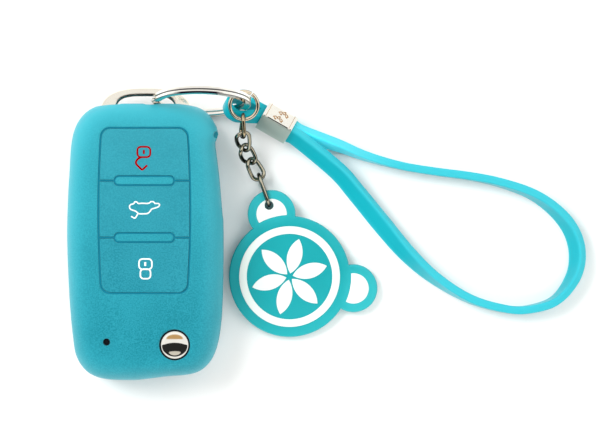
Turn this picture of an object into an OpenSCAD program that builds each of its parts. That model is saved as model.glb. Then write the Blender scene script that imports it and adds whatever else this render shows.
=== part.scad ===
// Silicone cover on a folding remote key, with its key ring, chain charm and wrist strap.
// Millimetres. The origin is the centre of the cover's flat underside, +Y towards the bail, +Z up.

/* [Cover] */
// Width of the silicone cover
cover_w = 42.5; // [41:0.5:45]
// Length of the silicone cover
cover_l = 75.8; // [75:0.2:79]
// Thickness of the covered key
cover_h = 18.5; // [18:0.1:19.5]
// Wall of the silicone
cover_wall = 1.5; // [1.4:0.1:1.7]
// How far the rim's rounding reaches in from the side
cover_round = 6.5; // [5.5:0.5:7.5]
// Rise of the crowned front face
cover_crown = 0.5; // [0.3:0.1:0.6]
// Corner squareness of the outline, where 2 is an ellipse
cover_square_share = 5.2; // [4.6:0.1:5.6]
// How much narrower the outline is towards its ends, as a share of its width
cover_taper = 0.047; // [0.03:0.001:0.06]

/* [Button zone] */
// Width of the three-button zone
zone_w = 23.9; // [22:0.1:26]
// Length of the three-button zone, as a share of the cover's
zone_share = 0.599; // [0.57:0.001:0.61]
// Height of the zone's centre above the cover's centre, as a share of the cover's length
zone_rise = 0.112; // [0.105:0.001:0.125]
// Corner radius of the zone
zone_corner = 2.6; // [2:0.1:3.5]
// How far the zone's long sides bow out
zone_bow = 0.8; // [0:0.05:1]
// Width of the groove round each button
groove_w = 0.6; // [0.4:0.05:0.8]
// Depth of the groove
groove_d = 0.5; // [0.3:0.05:0.6]
// Length of the raised bars between the buttons
bar_l = 15.7; // [14:0.1:18]
// Width of the raised bars
bar_w = 1.9; // [1.6:0.1:3]
// Thickness of the silicone over a button
pad_wall = 0.85; // [0.7:0.05:0.95]
// How far a button presses in
press_travel = 0.6; // [0.4:0.05:0.6]

/* [Key] */
// Wall of the key's two shells
shell_wall = 1.3; // [1.1:0.1:1.4]
// Air between the key and the cover
key_gap = 0.15; // [0.1:0.05:0.2]
// Place of the blade's pivot across the key, as a share of the cover's width
pivot_share_x = 0.193; // [0.186:0.001:0.195]
// Place of the blade's pivot along the key, as a share of the cover's length
pivot_share_y = 0.3694; // [0.366:0.0002:0.375]
// Diameter of the release button
release_d = 7.5; // [7:0.1:7.8]
// How far the release button presses in
release_travel = 1.5; // [1:0.1:1.6]
// Diameter of the indicator's hole in the cover
led_hole_d = 1.9; // [1.7:0.1:2.4]

/* [Blade] */
// Reach of the blade from its pivot to its tip, as a share of the cover's length
blade_share = 0.686; // [0.62:0.002:0.698]
// Width of the blade
blade_w = 8; // [7:0.1:8.2]
// Thickness of the blade
blade_t = 2.5; // [2.2:0.1:2.6]
// Distance of the blade's centreline from the pivot
blade_offset = 5.5; // [5.3:0.1:5.7]
// Diameter of the hub
hub_d = 16; // [15:0.2:16.4]
// Thickness of the hub
hub_t = 3.5; // [3.3:0.1:3.6]

/* [Bail and rings] */
// Width of the key's bail
bail_w = 25.2; // [23:0.2:26]
// How far the bail stands out of the cover
bail_out = 4.15; // [3.6:0.05:4.6]
// Bar of the bail at its top
bail_bar = 2.3; // [1.5:0.05:2.5]
// Thickness of the bail
bail_t = 2.2; // [1.8:0.1:2.6]
// Outer diameter of the split ring
ring_d = 28; // [27:0.5:29]
// Width of the split ring's wire, measured from its centre out
ring_band = 2; // [1.6:0.1:2.2]
// Thickness of each of the split ring's two turns
ring_turn = 1; // [0.8:0.05:1.1]
// Lean of the split ring from upright, in degrees
ring_lean = 12; // [11:0.5:14]
// Outer diameter of the jump ring
jump_d = 8.75; // [8.4:0.05:9.2]
// Wire of the jump ring and of the chain
wire = 1.1; // [0.9:0.05:1.2]

/* [Chain] */
// Outer length of a curb link
link_l = 7.3; // [7:0.05:7.5]
// Outer width of a curb link
link_w = 4.7; // [4.4:0.05:5]
// Outer length of the last, long link
long_l = 10.05; // [9.6:0.05:10.4]
// Outer width of the last, long link
long_w = 5.6; // [5.4:0.05:5.8]
// Play between two linked wires
link_play = 0.2; // [0.1:0.05:0.3]

/* [Charm] */
// Diameter of the charm's disc
charm_d = 33.4; // [31:0.2:34]
// Thickness of the charm
charm_t = 2.8; // [2.4:0.1:2.9]
// Outer diameter of the white ring on the charm
halo_d = 27.8; // [26:0.2:29]
// Width of the white ring
halo_w = 2.1; // [1.6:0.1:2.6]
// Diameter of an ear lug
ear_d = 13.2; // [12:0.2:14]
// Depth of the white inlays
inlay_t = 0.9; // [0.6:0.1:1.2]

/* [Strap] */
// Width of the strap
strap_w = 5.5; // [5:0.1:5.8]
// Thickness of the strap
strap_t = 2.2; // [2:0.1:2.5]
// Length of the metal sleeve
sleeve_l = 9.1; // [8:0.1:9.6]
// Wall of the metal sleeve
sleeve_wall = 0.5; // [0.4:0.05:0.6]
// Diameter of the hole in the strap's eye
eye_d = 5; // [4.5:0.1:5]

/* [Hidden] */

$fn = 48;
over = 0.5;          // overrun of a cut past the face it opens
fit_gap = 0.05;      // air between two pieces that sit in each other
slide_gap = 0.12;    // air round a piece that slides in an opening

// Levels through the thickness
mid_z = cover_h/2;
roof_z = cover_h - cover_wall;                 // underside of the cover's front wall
key_bottom = cover_wall + key_gap;
key_top = roof_z - key_gap;
floor_z = key_bottom + shell_wall;             // inside of the rear shell
ceiling_z = key_top - shell_wall;              // inside of the front shell
channel_play = 0.15;                           // air over and under the hub
channel_low = mid_z - hub_t/2 - channel_play;
channel_high = mid_z + hub_t/2 + channel_play;

// Outline of the pillow that the cover and the key are cut from
outline_points = 56;
rim_share = 2.6;                               // squareness of the rim's rounding
rim_steps = 10;
face_steps = 2;                                // rim rings that the front face needs under a pad
crown_shares = [0.18, 0.42, 0.72];             // where the crown's rings lie, from the rim inwards

// Unit superellipse of a given squareness that narrows towards its ends, as a list of points
function unit_outline(square, count) = [
    for (i = [0:count - 1])
        let (a = 360*i/count, c = cos(a), s = sin(a),
             m = pow(pow(abs(c), square) + pow(abs(s), square), 1/square))
        [c/m*(1 - cover_taper*pow(s/m, 2)), s/m]
];

// Half width of the cover's outline at height y along it
function outline_x(y) = let (u = abs(y)*2/cover_l)
    cover_w/2*pow(1 - pow(u, cover_square_share), 1/cover_square_share)*(1 - cover_taper*u*u);

// One ring of the pillow, drawn in by inset, at height z
function pillow_ring(half_w, half_l, inset, z, count) = [
    for (p = unit_outline(cover_square_share, count)) [(half_w - inset)*p[0], (half_l - inset)*p[1], z]
];

// Faces of a skin over rings of the same number of points, closed by two end faces
function skin_faces(rings, count) = concat(
    [[for (i = [0:count - 1]) i]],
    [for (r = [0:rings - 2], i = [0:count - 1])
        let (a = r*count + i, b = r*count + (i + 1)%count)
        each [[a, a + count, b + count], [a, b + count, b]]],
    [[for (i = [count - 1:-1:0]) (rings - 1)*count + i]]
);

module skin(rings) {
    count = len(rings[0]);
    polyhedron([for (r = rings, p = r) p], skin_faces(len(rings), count), convexity = 6);
}

// A rounded pillow between two heights, crowned by a rise on its front, from ring first on
module pillow(half_w, half_l, low, high, round, crown, count = outline_points, first = 0) {
    middle = (low + high - crown)/2;
    half = (high - crown - low)/2;
    rim = [
        for (k = [first:rim_steps])
            let (a = -90 + 180*k/rim_steps,
                 inset = round*(1 - pow(abs(cos(a)), 2/rim_share)),
                 z = middle + sign(a)*half*pow(abs(sin(a)), 2/rim_share))
            pillow_ring(half_w, half_l, inset, z, count)
    ];
    cap = [
        for (s = crown > 0 ? crown_shares : [])
            pillow_ring(half_w, half_l, round + (half_w - round)*s,
                        high - crown*(1 - s)*(1 - s), count)
    ];
    skin(concat(rim, cap));
}

// Points of a rectangle with round corners, whose long sides may bow out
function round_rect(w, l, r, bow = 0, corner_steps = 5, side_steps = 8) =
    let (quarter = [for (k = [0:corner_steps]) let (a = 90*k/corner_steps)
                       [w/2 - r + r*cos(a), l/2 - r + r*sin(a)]],
         side = [for (k = [0:side_steps - 1]) [w/2, (l/2 - r)*k/side_steps]],
         right = concat(side, quarter),
         bowed = [for (p = right) [p[0] + bow*(1 - pow(2*p[1]/l, 2)), p[1]]],
         top = concat(bowed, [for (i = [len(bowed) - 1:-1:0]) [-bowed[i][0], bowed[i][1]]]),
         low = [for (i = [len(top) - 1:-1:0]) [top[i][0], -top[i][1]]])
    unique_points(concat(top, low));

// A closed outline without repeated neighbours
function unique_points(list) = [
    for (i = [0:len(list) - 1]) if (norm(list[i] - list[(i + 1)%len(list)]) > 0) list[i]
];

// Points of a stadium, long along X
function stadium(l, w, steps = 10) = concat(
    [for (k = [0:steps]) let (a = -90 + 180*k/steps) [l/2 - w/2 + w/2*cos(a), w/2*sin(a)]],
    [for (k = [0:steps]) let (a = 90 + 180*k/steps) [w/2 - l/2 + w/2*cos(a), w/2*sin(a)]]
);

// Button zone
zone_l = cover_l*zone_share;
zone_y = cover_l*zone_rise;
zone_top = zone_y + zone_l/2;
button_shares = [0.322, 0.340, 0.338];         // each button's part of the zone's length, top first
bar_ys = [zone_top - zone_l*button_shares[0], zone_top - zone_l*(button_shares[0] + button_shares[1])];
zone_x = 0;                                    // the zone sits in the middle
button_edges = [zone_top, bar_ys[0], bar_ys[1], zone_top - zone_l];
pad_low = roof_z + cover_wall - pad_wall;      // underside of a pad
groove_z = cover_h - cover_crown/2 - groove_d; // floor of the groove

// Outline of button i, grown towards the zone's outline by grow
module button_outline(i, grow) {
    inset = groove_w - grow;
    high = i == 0 ? zone_top : button_edges[i] + groove_w/2;
    low = i == 2 ? zone_top - zone_l : button_edges[i + 1] - groove_w/2;
    difference() {
        intersection() {
            translate([zone_x, zone_y])
                polygon(round_rect(zone_w - 2*inset, zone_l - 2*inset, zone_corner - inset/2, zone_bow));
            translate([-cover_w, low + inset]) square([2*cover_w, high - low - 2*inset]);
        }
        for (y = bar_ys)
            translate([zone_x, y]) polygon(stadium(bar_l + 2*inset, bar_w + 2*inset));
    }
}

module button_pad(i) {
    intersection() {
        pillow(cover_w/2, cover_l/2, 0, cover_h, cover_round, cover_crown, first = rim_steps - face_steps);
        translate([0, 0, pad_low]) linear_extrude(cover_wall) button_outline(i, 0);
    }
}

// Blade channel: where the hub turns and the blade swings, seen from the front
pivot_x = cover_w*pivot_share_x;
pivot_down = cover_l*pivot_share_y;
blade_reach = cover_l*blade_share;
pivot = [pivot_x, -pivot_down];
sweep_in = blade_offset - blade_w/2;           // nearest edge of the blade to the pivot
sweep_out = blade_offset + blade_w/2;          // farthest edge of the blade from the pivot
tip_y = blade_reach - pivot_down;

module swing_area(grow, top) {
    translate(pivot) circle(d = hub_d + 2*grow);
    translate([pivot_x + sweep_in - grow, -pivot_down]) square([cover_w, top + grow + pivot_down]);
    translate([pivot_x - sweep_out - grow, -cover_l]) square([cover_w, cover_l - pivot_down]);
}

module swing_channel(grow, top, low, high) {
    translate([0, 0, low]) linear_extrude(high - low) swing_area(grow, top);
}

// Cover: one soft wall round the key, open at the bail end and along the blade's slot
slot_lip = 0.2;                                // how far the cover's slot clears the key's channel
slot_top = cover_l*0.385;                      // upper end of the slot
notch_r = 1;                                   // relief hole at the slot's upper end
mouth_w = bail_w + 2.4;                        // opening for the bail
mouth_y = cover_l/2 - 4;
mouth_top = cover_h - 3.8;
button_hole_r = release_d/2 + 0.35;

module cover() {
    color([0.24, 0.71, 0.80])
    difference() {
        pillow(cover_w/2, cover_l/2, 0, cover_h, cover_round, cover_crown);
        pillow(cover_w/2 - cover_wall, cover_l/2 - cover_wall, cover_wall, roof_z,
               cover_round - cover_wall, 0, outline_points - 8);
        for (i = [0:2]) {
            translate([0, 0, roof_z - over]) linear_extrude(cover_wall + 2*over)
                button_outline(i, slide_gap);
            translate([0, 0, groove_z]) linear_extrude(cover_wall) button_outline(i, groove_w);
        }
        swing_channel(slot_lip, slot_top, channel_low - slot_lip, channel_high + slot_lip);
        translate([outline_x(slot_top), slot_top, channel_low - slot_lip])
            cylinder(r = notch_r, h = cover_h - channel_low - cover_wall);
        translate([-mouth_w/2, mouth_y, -over]) cube([mouth_w, cover_l, mouth_top + over]);
        translate([pivot[0], pivot[1], roof_z - over]) cylinder(r = button_hole_r, h = cover_wall + 2*over);
        translate([led_at[0], led_at[1], roof_z - over]) cylinder(d = led_hole_d, h = cover_wall + 2*over);
    }
}

module unlock_pad() { color([0.25, 0.68, 0.76]) button_pad(0); }
module boot_pad() { color([0.25, 0.68, 0.76]) button_pad(1); }
module lock_pad() { color([0.25, 0.68, 0.76]) button_pad(2); }

// Key shells: two mouldings that meet at mid height round the blade's channel
key_half_w = cover_w/2 - cover_wall - key_gap;
key_half_l = cover_l/2 - cover_wall - key_gap;
key_round = cover_round - cover_wall;
key_end_y = cover_l/2 - 3.2;                     // flat end of the key at the bail
bail_root = 4.5;                               // how deep the bail sits in the key
channel_wall = 1;                              // wall between the channel and the electronics
channel_end = 0.6;                             // air past the blade's tip

module key_body() {
    difference() {
        pillow(key_half_w, key_half_l, key_bottom, key_top, key_round, 0, outline_points - 8);
        translate([-cover_w, key_end_y, -over]) cube([2*cover_w, cover_l, cover_h + 2*over]);
    }
}

module key_hollow() {
    difference() {
        pillow(key_half_w - shell_wall, key_half_l - shell_wall, floor_z, ceiling_z,
               key_round - shell_wall, 0, outline_points - 16);
        swing_channel(channel_wall, tip_y + channel_end, channel_low - channel_wall,
                      channel_high + channel_wall);
        translate([-cover_w, key_end_y - shell_wall, -over]) cube([2*cover_w, cover_l, cover_h + 2*over]);
        translate([-cover_w, key_end_y - bail_root - shell_wall, mid_z - bail_t/2 - channel_wall])
            cube([2*cover_w, cover_l, bail_t + 2*channel_wall]);
    }
}

// Half of the key, low or high, with its channel and bail seat
module key_half(low, high) {
    difference() {
        intersection() {
            key_body();
            translate([-cover_w, -cover_l, low]) cube([2*cover_w, 2*cover_l, high - low]);
        }
        key_hollow();
        swing_channel(slide_gap, tip_y + channel_end, channel_low, channel_high);
        bail_blank(fit_gap);
    }
}

key_w = 15.8;                                  // width of a remote button
key_l = 9;                                     // length of a remote button
key_corner = 2;
key_flange = 0.7;                              // flange that keeps a remote button in
key_flange_t = 0.7;
stem_r = 1.3;

function button_y(i) = (button_edges[i] + button_edges[i + 1])/2;

module key_rear_shell() {
    color([0.13, 0.14, 0.15])
    difference() {
        key_half(key_bottom - over, mid_z);
        translate([pivot[0], pivot[1], key_bottom + shell_wall])
            cylinder(r = post_r + fit_gap, h = channel_low);
    }
}

module key_front_shell() {
    color([0.13, 0.14, 0.15])
    difference() {
        key_half(mid_z, key_top + over);
        for (i = [0:2])
            translate([zone_x, button_y(i), ceiling_z - over]) linear_extrude(shell_wall + 2*over)
                polygon(round_rect(key_w + 2*slide_gap, key_l + 2*slide_gap, key_corner + slide_gap));
        translate([pivot[0], pivot[1], channel_high - over])
            cylinder(d = release_d + 2*slide_gap, h = key_top - channel_high + 2*over);
        translate([pivot[0], pivot[1], channel_high + channel_wall])
            cylinder(r = release_d/2 + button_rim + slide_gap, h = ceiling_z - channel_high - channel_wall);
        translate([led_at[0], led_at[1], ceiling_z - over])
            cylinder(r = led_r + fit_gap, h = shell_wall + 2*over);
    }
}

module remote_key(i) {
    translate([zone_x, button_y(i), 0]) {
        translate([0, 0, ceiling_z - fit_gap]) linear_extrude(pad_low - ceiling_z + fit_gap)
            polygon(round_rect(key_w, key_l, key_corner));
        translate([0, 0, ceiling_z - fit_gap - key_flange_t]) linear_extrude(key_flange_t)
            polygon(round_rect(key_w + 2*key_flange, key_l + 2*key_flange, key_corner));
        translate([0, 0, switch_top + press_travel + fit_gap])
            cylinder(r = stem_r, h = ceiling_z - fit_gap - key_flange_t - switch_top - press_travel - fit_gap);
    }
}

module unlock_key() { color([0.20, 0.20, 0.21]) remote_key(0); }
module boot_key() { color([0.20, 0.20, 0.21]) remote_key(1); }
module lock_key() { color([0.20, 0.20, 0.21]) remote_key(2); }

// Electronics
board_t = 1;
board_z = channel_high + 0.35;                 // underside of the board
switch_w = 4.5;
switch_body_h = 0.95;
switch_cap_r = 1.2;
switch_top = ceiling_z - key_flange_t - press_travel - 0.3;
led_at = [-cover_w*0.242, -cover_l*0.359];
led_r = 0.75;
led_body = 2.2;
board_left = -key_half_w + shell_wall + 0.4;
board_right = pivot_x + sweep_in - channel_wall - 0.6;
board_top = key_end_y - shell_wall - bail_root - 0.5;
board_step = -cover_l*0.16;                    // where the board narrows beside the hub
board_tongue = 6.5;                            // width of the part that carries the indicator
board_bottom = led_at[1] - 2.2;

module circuit_board() {
    half_w = -board_left;
    half_l = key_half_l - (key_half_w - half_w);
    tongue_right = led_at[0] + board_tongue/2;
    color([0.10, 0.38, 0.22])
    translate([0, 0, board_z]) linear_extrude(board_t) intersection() {
        polygon([for (p = unit_outline(cover_square_share, outline_points - 16)) [half_w*p[0], half_l*p[1]]]);
        polygon([
            [board_left, board_bottom], [tongue_right, board_bottom], [tongue_right, board_step - board_tongue],
            [board_right, board_step], [board_right, board_top], [board_left, board_top]
        ]);
    }
}

module tact_switches() {
    color([0.75, 0.76, 0.78])
    for (i = [0:2]) translate([zone_x, button_y(i), board_z + board_t]) {
        translate([-switch_w/2, -switch_w/2, 0]) cube([switch_w, switch_w, switch_body_h]);
        cylinder(r = switch_cap_r, h = switch_top - board_z - board_t);
    }
}

cell_d = cover_w*0.47;
cell_t = 3.2;
cell_lip = 0.5;
cell_at = [key_round - key_half_w + cell_d/2 + fit_gap, -cover_l*0.035];

module coin_cell() {
    color([0.80, 0.81, 0.82])
    translate([cell_at[0], cell_at[1], floor_z + fit_gap]) {
        cylinder(d = cell_d, h = cell_t - cell_lip);
        translate([0, 0, cell_t - cell_lip]) cylinder(d = cell_d - 4*cell_lip, h = cell_lip);
    }
}

clip_t = 0.35;
clip_w = 4;

module battery_clips() {
    cell_top = floor_z + fit_gap + cell_t;
    color([0.83, 0.74, 0.45]) {
        translate([cell_at[0] - clip_w/2, cell_at[1] - clip_w/2, cell_top]) {
            cube([cell_d/2 + clip_w/2 + clip_t, clip_w, clip_t]);
            translate([cell_d/2 + clip_w/2, 0, 0]) cube([clip_t, clip_w, board_z - cell_top]);
        }
        translate([cell_at[0] - clip_w/2, cell_at[1] + cell_d/2 + fit_gap, floor_z + cell_lip])
            cube([clip_w, clip_t, board_z - floor_z - cell_lip]);
    }
}

module led() {
    color([0.08, 0.08, 0.09])
    translate([led_at[0], led_at[1], board_z + board_t]) {
        translate([-led_body/2, -led_body/2, 0]) cube([led_body, led_body, switch_body_h]);
        cylinder(r = led_r, h = roof_z - board_z - board_t + fit_gap);
    }
}

chip_l = 12;
chip_r = 1.6;
chip_y = cover_l*0.3;

module transponder_chip() {
    color([0.25, 0.24, 0.22])
    translate([zone_x - chip_l/2, chip_y, floor_z + chip_r + fit_gap])
        rotate([0, 90, 0]) rotate_extrude()
            polygon(concat([[0, 0]],
                [for (a = [0:30:90]) [chip_r*sin(a), chip_r*(1 - cos(a))]],
                [for (a = [90:-30:0]) [chip_r*sin(a), chip_l - chip_r*(1 - cos(a))]],
                [[0, chip_l]]));
}

// Blade mechanism
post_r = 1.6;
post_foot_r = 3.2;
post_foot_t = 0.8;
run_gap = 0.05;                                // running air of the hub on its post
button_wall = 0.6;
button_rim = 0.7;                              // flange that keeps the release button in
button_rim_t = 0.8;
button_dome = 0.9;                             // rise of the release button's dome
button_edge_z = cover_h - 0.9;                 // where the dome starts

module pivot_post() {
    color([0.70, 0.71, 0.73])
    translate([pivot[0], pivot[1], 0]) {
        translate([0, 0, channel_low - channel_wall - post_foot_t]) cylinder(r = post_foot_r, h = post_foot_t);
        translate([0, 0, channel_low - channel_wall]) cylinder(r = post_r, h = ceiling_z - channel_low - channel_wall);
    }
}

hub_low = mid_z - hub_t/2;
arm_l = 10;                                    // length of the hub's arm along the blade
tongue_w = 5;                                  // width of the blade's tongue in the arm
tongue_l = 7;
pin_r = 0.75;
pin_back = 3.2;                                // distance of the pin from the end of the arm

module blade_hub() {
    color([0.16, 0.16, 0.17])
    translate([pivot[0], pivot[1], hub_low])
    difference() {
        union() {
            cylinder(d = hub_d, h = hub_t);
            linear_extrude(hub_t) polygon([
                [sweep_in, 0], [hub_d/2, 0], [sweep_out, hub_d*0.28], [sweep_out, arm_l], [sweep_in, arm_l]
            ]);
        }
        translate([0, 0, -over]) cylinder(r = post_r + run_gap, h = hub_t + 2*over);
        translate([blade_offset - tongue_w/2 - fit_gap, arm_l - tongue_l - fit_gap, (hub_t - blade_t)/2 - fit_gap])
            cube([tongue_w + 2*fit_gap, tongue_l + over, blade_t + 2*fit_gap]);
        translate([blade_offset, arm_l - pin_back, -over]) cylinder(r = pin_r + fit_gap/2, h = hub_t + 2*over);
    }
}

module blade_pin() {
    color([0.75, 0.76, 0.78])
    translate([pivot[0] + blade_offset, pivot[1] + arm_l - pin_back, hub_low]) cylinder(r = pin_r, h = hub_t);
}

groove_depth = 0.7;                            // milled track on both faces of the blade
track_w = 2.2;
track_wave = 0.8;
tip_shares = [[-0.5, 0.88], [-0.28, 0.97], [0, 1], [0.28, 0.97], [0.5, 0.88]];

function track_x(s) = track_wave*sin(360*2.25*s);

module blade_track() {
    start = arm_l + blade_w/4;
    end = blade_reach;
    steps = 26;
    line = [for (k = [0:steps]) let (s = k/steps) [track_x(s), start + (end - start)*s]];
    polygon(concat(
        [for (p = line) [p[0] + track_w/2, p[1]]],
        [for (k = [steps:-1:0]) [line[k][0] - track_w/2, line[k][1]]]
    ));
}

module key_blade() {
    color([0.80, 0.81, 0.83])
    translate([pivot[0] + blade_offset, pivot[1], mid_z - blade_t/2])
    difference() {
        linear_extrude(blade_t) polygon(concat(
            [[-tongue_w/2, arm_l - tongue_l], [tongue_w/2, arm_l - tongue_l], [tongue_w/2, arm_l],
             [blade_w/2, arm_l]],
            [for (i = [len(tip_shares) - 1:-1:0]) [blade_w*tip_shares[i][0], blade_reach*tip_shares[i][1]]],
            [[-blade_w/2, arm_l], [-tongue_w/2, arm_l]]
        ));
        translate([0, 0, blade_t - groove_depth]) linear_extrude(groove_depth + over) blade_track();
        translate([0, 0, -over]) linear_extrude(groove_depth + over) blade_track();
        translate([0, arm_l - pin_back, -over]) cylinder(r = pin_r + fit_gap/2, h = blade_t + 2*over);
    }
}

module release_button() {
    r = release_d/2;
    skirt_z = hub_low + hub_t + release_travel + channel_play + fit_gap;
    rim_z = ceiling_z - fit_gap - button_rim_t;
    dome_r = (r*r + button_dome*button_dome)/(2*button_dome);
    dome_a = asin(r/dome_r);
    color([0.86, 0.87, 0.88])
    translate([pivot[0], pivot[1], 0]) rotate_extrude() polygon(concat(
        [[r - button_wall, skirt_z], [r, skirt_z], [r, rim_z], [r + button_rim, rim_z],
         [r + button_rim, rim_z + button_rim_t], [r, rim_z + button_rim_t]],
        [for (k = [8:-1:0]) let (a = dome_a*k/8)
            [dome_r*sin(a), button_edge_z + button_dome - dome_r*(1 - cos(a))]],
        [[0, button_edge_z - button_wall], [r - button_wall, button_edge_z - button_wall]]
    ));
}

spring_wire = 0.6;
spring_turns = 4;
spring_r = release_d/2 - button_wall - spring_wire/2 - slide_gap;
spring_low = hub_low + hub_t + channel_play + fit_gap;
spring_high = button_edge_z - button_wall - fit_gap;

module flip_spring() {
    steps = 18;
    rise = spring_high - spring_low - spring_wire;
    path = [for (k = [0:steps*spring_turns]) let (a = 360*k/steps, s = k/(steps*spring_turns))
        [spring_r*cos(a), spring_r*sin(a), spring_low + spring_wire/2 + rise*s]];
    color([0.55, 0.56, 0.58])
    translate([pivot[0], pivot[1], 0])
        skin([for (k = [0:len(path) - 1]) let (a = 360*k/steps)
            [for (j = [5:-1:0]) path[k] + spring_wire/2*[cos(60*j)*cos(a), cos(60*j)*sin(a), sin(60*j)]]]);
}

// Bail: a flat arch that the two shells grip
bail_leg = 4.5;                                // width of a leg of the bail
bail_soft = 0.45;                              // rounding of the bail's edges
bail_top = cover_l/2 + bail_out;
bail_base = key_end_y - bail_root;
bail_spring_y = cover_l/2 - 3.4;               // where the arch leaves its straight legs
bail_outer_share = 2.6;
bail_inner_share = 3.6;

function arch(half_w, base, spring, top, square, z, steps = 20) = concat(
    [[half_w, base, z]],
    [for (k = [0:steps]) let (a = 180*k/steps)
        [half_w*sign(cos(a))*pow(abs(cos(a)), 2/square), spring + (top - spring)*pow(sin(a), 2/square), z]],
    [[-half_w, base, z]]
);

module bail_skin(half_w, base, spring, top, square, t, soft) {
    skin([for (k = [0:6]) let (a = -90 + 30*k, i = soft*(1 - cos(a)),
                               z = mid_z + (t/2 - abs(soft))*sign(a) + abs(soft)*sin(a))
        arch(half_w - i, base + i, spring, top - i, square, z)]);
}

module bail_blank(grow) {
    translate([-bail_w/2 - grow, bail_base - grow, mid_z - bail_t/2 - grow])
        cube([bail_w + 2*grow, cover_l, bail_t + 2*grow]);
}

module key_bail() {
    color([0.85, 0.84, 0.80])
    difference() {
        bail_skin(bail_w/2, bail_base, bail_spring_y, bail_top, bail_outer_share, bail_t, bail_soft);
        bail_skin(bail_w/2 - bail_leg, bail_base - over, bail_spring_y, bail_top - bail_bar,
                  bail_inner_share, bail_t + 2*fit_gap, -bail_soft);
        translate([-bail_w/2 + bail_leg, bail_base - over, mid_z - bail_t])
            cube([bail_w - 2*bail_leg, bail_spring_y - bail_base, 2*bail_t]);
    }
}

// Split ring: two turns of flat wire that stand on edge in the bail
ring_r = ring_d/2 - ring_band/2;
ring_slack = 0.05;                             // air between the two turns
ring_axial = 2*ring_turn + ring_slack;
ring_at = [cover_w*0.35, cover_l/2 + 0.3, ring_d/2*cos(ring_lean) + ring_axial/2*sin(ring_lean) + fit_gap];
ring_u = [1, 0, 0];
ring_v = [0, sin(ring_lean), cos(ring_lean)];
ring_n = [0, cos(ring_lean), -sin(ring_lean)];
ring_step_at = 172;                            // where one turn crosses over to the other
ring_step = 17;                                // half of the crossover, in degrees
ring_soft = 0.32;

function ring_point(a) = ring_at + ring_r*(cos(a)*ring_u + sin(a)*ring_v);
function ease(s) = s <= 0 ? 0 : s >= 1 ? 1 : s*s*(3 - 2*s);

// Corners of a wire section that is w by t, flattened at its corners by soft
function section(w, t, soft) = [
    [w/2 - soft, -t/2], [w/2, -t/2 + soft], [w/2, t/2 - soft], [w/2 - soft, t/2],
    [soft - w/2, t/2], [-w/2, t/2 - soft], [-w/2, soft - t/2], [soft - w/2, -t/2]
];

module split_ring() {
    steps = 92;
    from = ring_step;
    to = 720 - ring_step;
    lift = ring_turn + ring_slack;
    color([0.84, 0.83, 0.79])
    skin([for (k = [0:steps]) let (
            a = from + (to - from)*k/steps,
            at = ring_step_at + a,
            side = -lift/2 + lift*ease((a - 360 + ring_step)/(2*ring_step)),
            out = cos(at)*ring_u + sin(at)*ring_v)
        [for (p = section(ring_band, ring_turn, ring_soft)) ring_at + (ring_r + p[0])*out + (side + p[1])*ring_n]]);
}

// Jump ring: hangs round the split ring and carries the chain
jump_a = -39 + 26*13/ring_r;                   // where it hangs, in degrees round the split ring
jump_turn = -93;                               // heading of the chain from it, in degrees
jump_dip = 7;                                  // how far it tilts down towards the chain
jump_r = jump_d/2 - wire/2;
jump_shift = [-0.7, -0.4, 0.7];
jump_cut = 3;                                  // angle of its closed joint's gap
jump_at = ring_point(jump_a) + jump_shift;

function heading(turn, dip) = [cos(turn)*cos(dip), sin(turn)*cos(dip), -sin(dip)];

module jump_ring() {
    color([0.84, 0.82, 0.77])
    translate(jump_at) rotate([0, 0, jump_turn]) rotate([0, jump_dip, 0]) rotate([0, 0, 150])
        rotate_extrude(angle = 360 - jump_cut) translate([jump_r, 0]) circle(d = wire, $fn = 16);
}

// Chain: four twisted curb links and a long plain link
// Each row is a heading, a dip and the tilt of the link's plane at its two ends, in degrees
link_turns = [-92, -86, -62, -61, -71];
link_dips = [14, 42, 33, 12, 4];
link_starts = [90, -20, -45, -45, 90];
link_ends = [70, 45, 45, 0, 90];
link_reach = link_l - 2*wire - link_play;      // from one joint to the next along a curb link
long_reach = long_l - 2*wire - link_play;

function reach(i) = i == 4 ? long_reach : link_reach;
function link_dir(i) = heading(link_turns[i], link_dips[i]);
// Joint i of the chain, between link i and the piece before it
function joint_at(i) = i == 0
    ? jump_at + jump_r*heading(jump_turn, jump_dip) - (wire + link_play)/2*link_dir(0)
    : joint_at(i - 1) + reach(i - 1)*link_dir(i - 1);

// Side direction of a link whose plane is tilted by tilt
function link_side(dir, tilt) =
    let (flat = cross([0, 0, 1], dir)/norm(cross([0, 0, 1], dir)), up = cross(dir, flat))
    cos(tilt)*flat + sin(tilt)*up;

link_steps = 26;
link_sides = 8;

// Centre line of a link at angle a: along its length, and out to its side
function link_flat(l, w, a) =
    let (r = (w - wire)/2, straight = (l - wire)/2 - r)
    [straight*sign(cos(a))*min(1, abs(cos(a))*4) + r*cos(a), r*sin(a)];

function link_point(mid, dir, l, w, start, end, a) =
    let (p = link_flat(l, w, a), share = 0.5 + p[0]/(l - wire))
    mid + p[0]*dir + p[1]*link_side(dir, start + (end - start)*share);

module tube_loop(points, normals, r, sides) {
    count = len(points);
    verts = [for (i = [0:count - 1]) let (
            along = points[(i + 1)%count] - points[(i + count - 1)%count],
            t = along/norm(along),
            side = cross(normals[i], t),
            n = side/norm(side), b = cross(t, n))
        for (j = [0:sides - 1]) points[i] + r*(cos(360*j/sides)*n + sin(360*j/sides)*b)];
    faces = [for (i = [0:count - 1], j = [0:sides - 1])
        let (a = i*sides, b = (i + 1)%count*sides, j2 = (j + 1)%sides)
        each [[a + j, b + j, b + j2], [a + j, b + j2, a + j2]]];
    polyhedron(verts, faces, convexity = 6);
}

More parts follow.
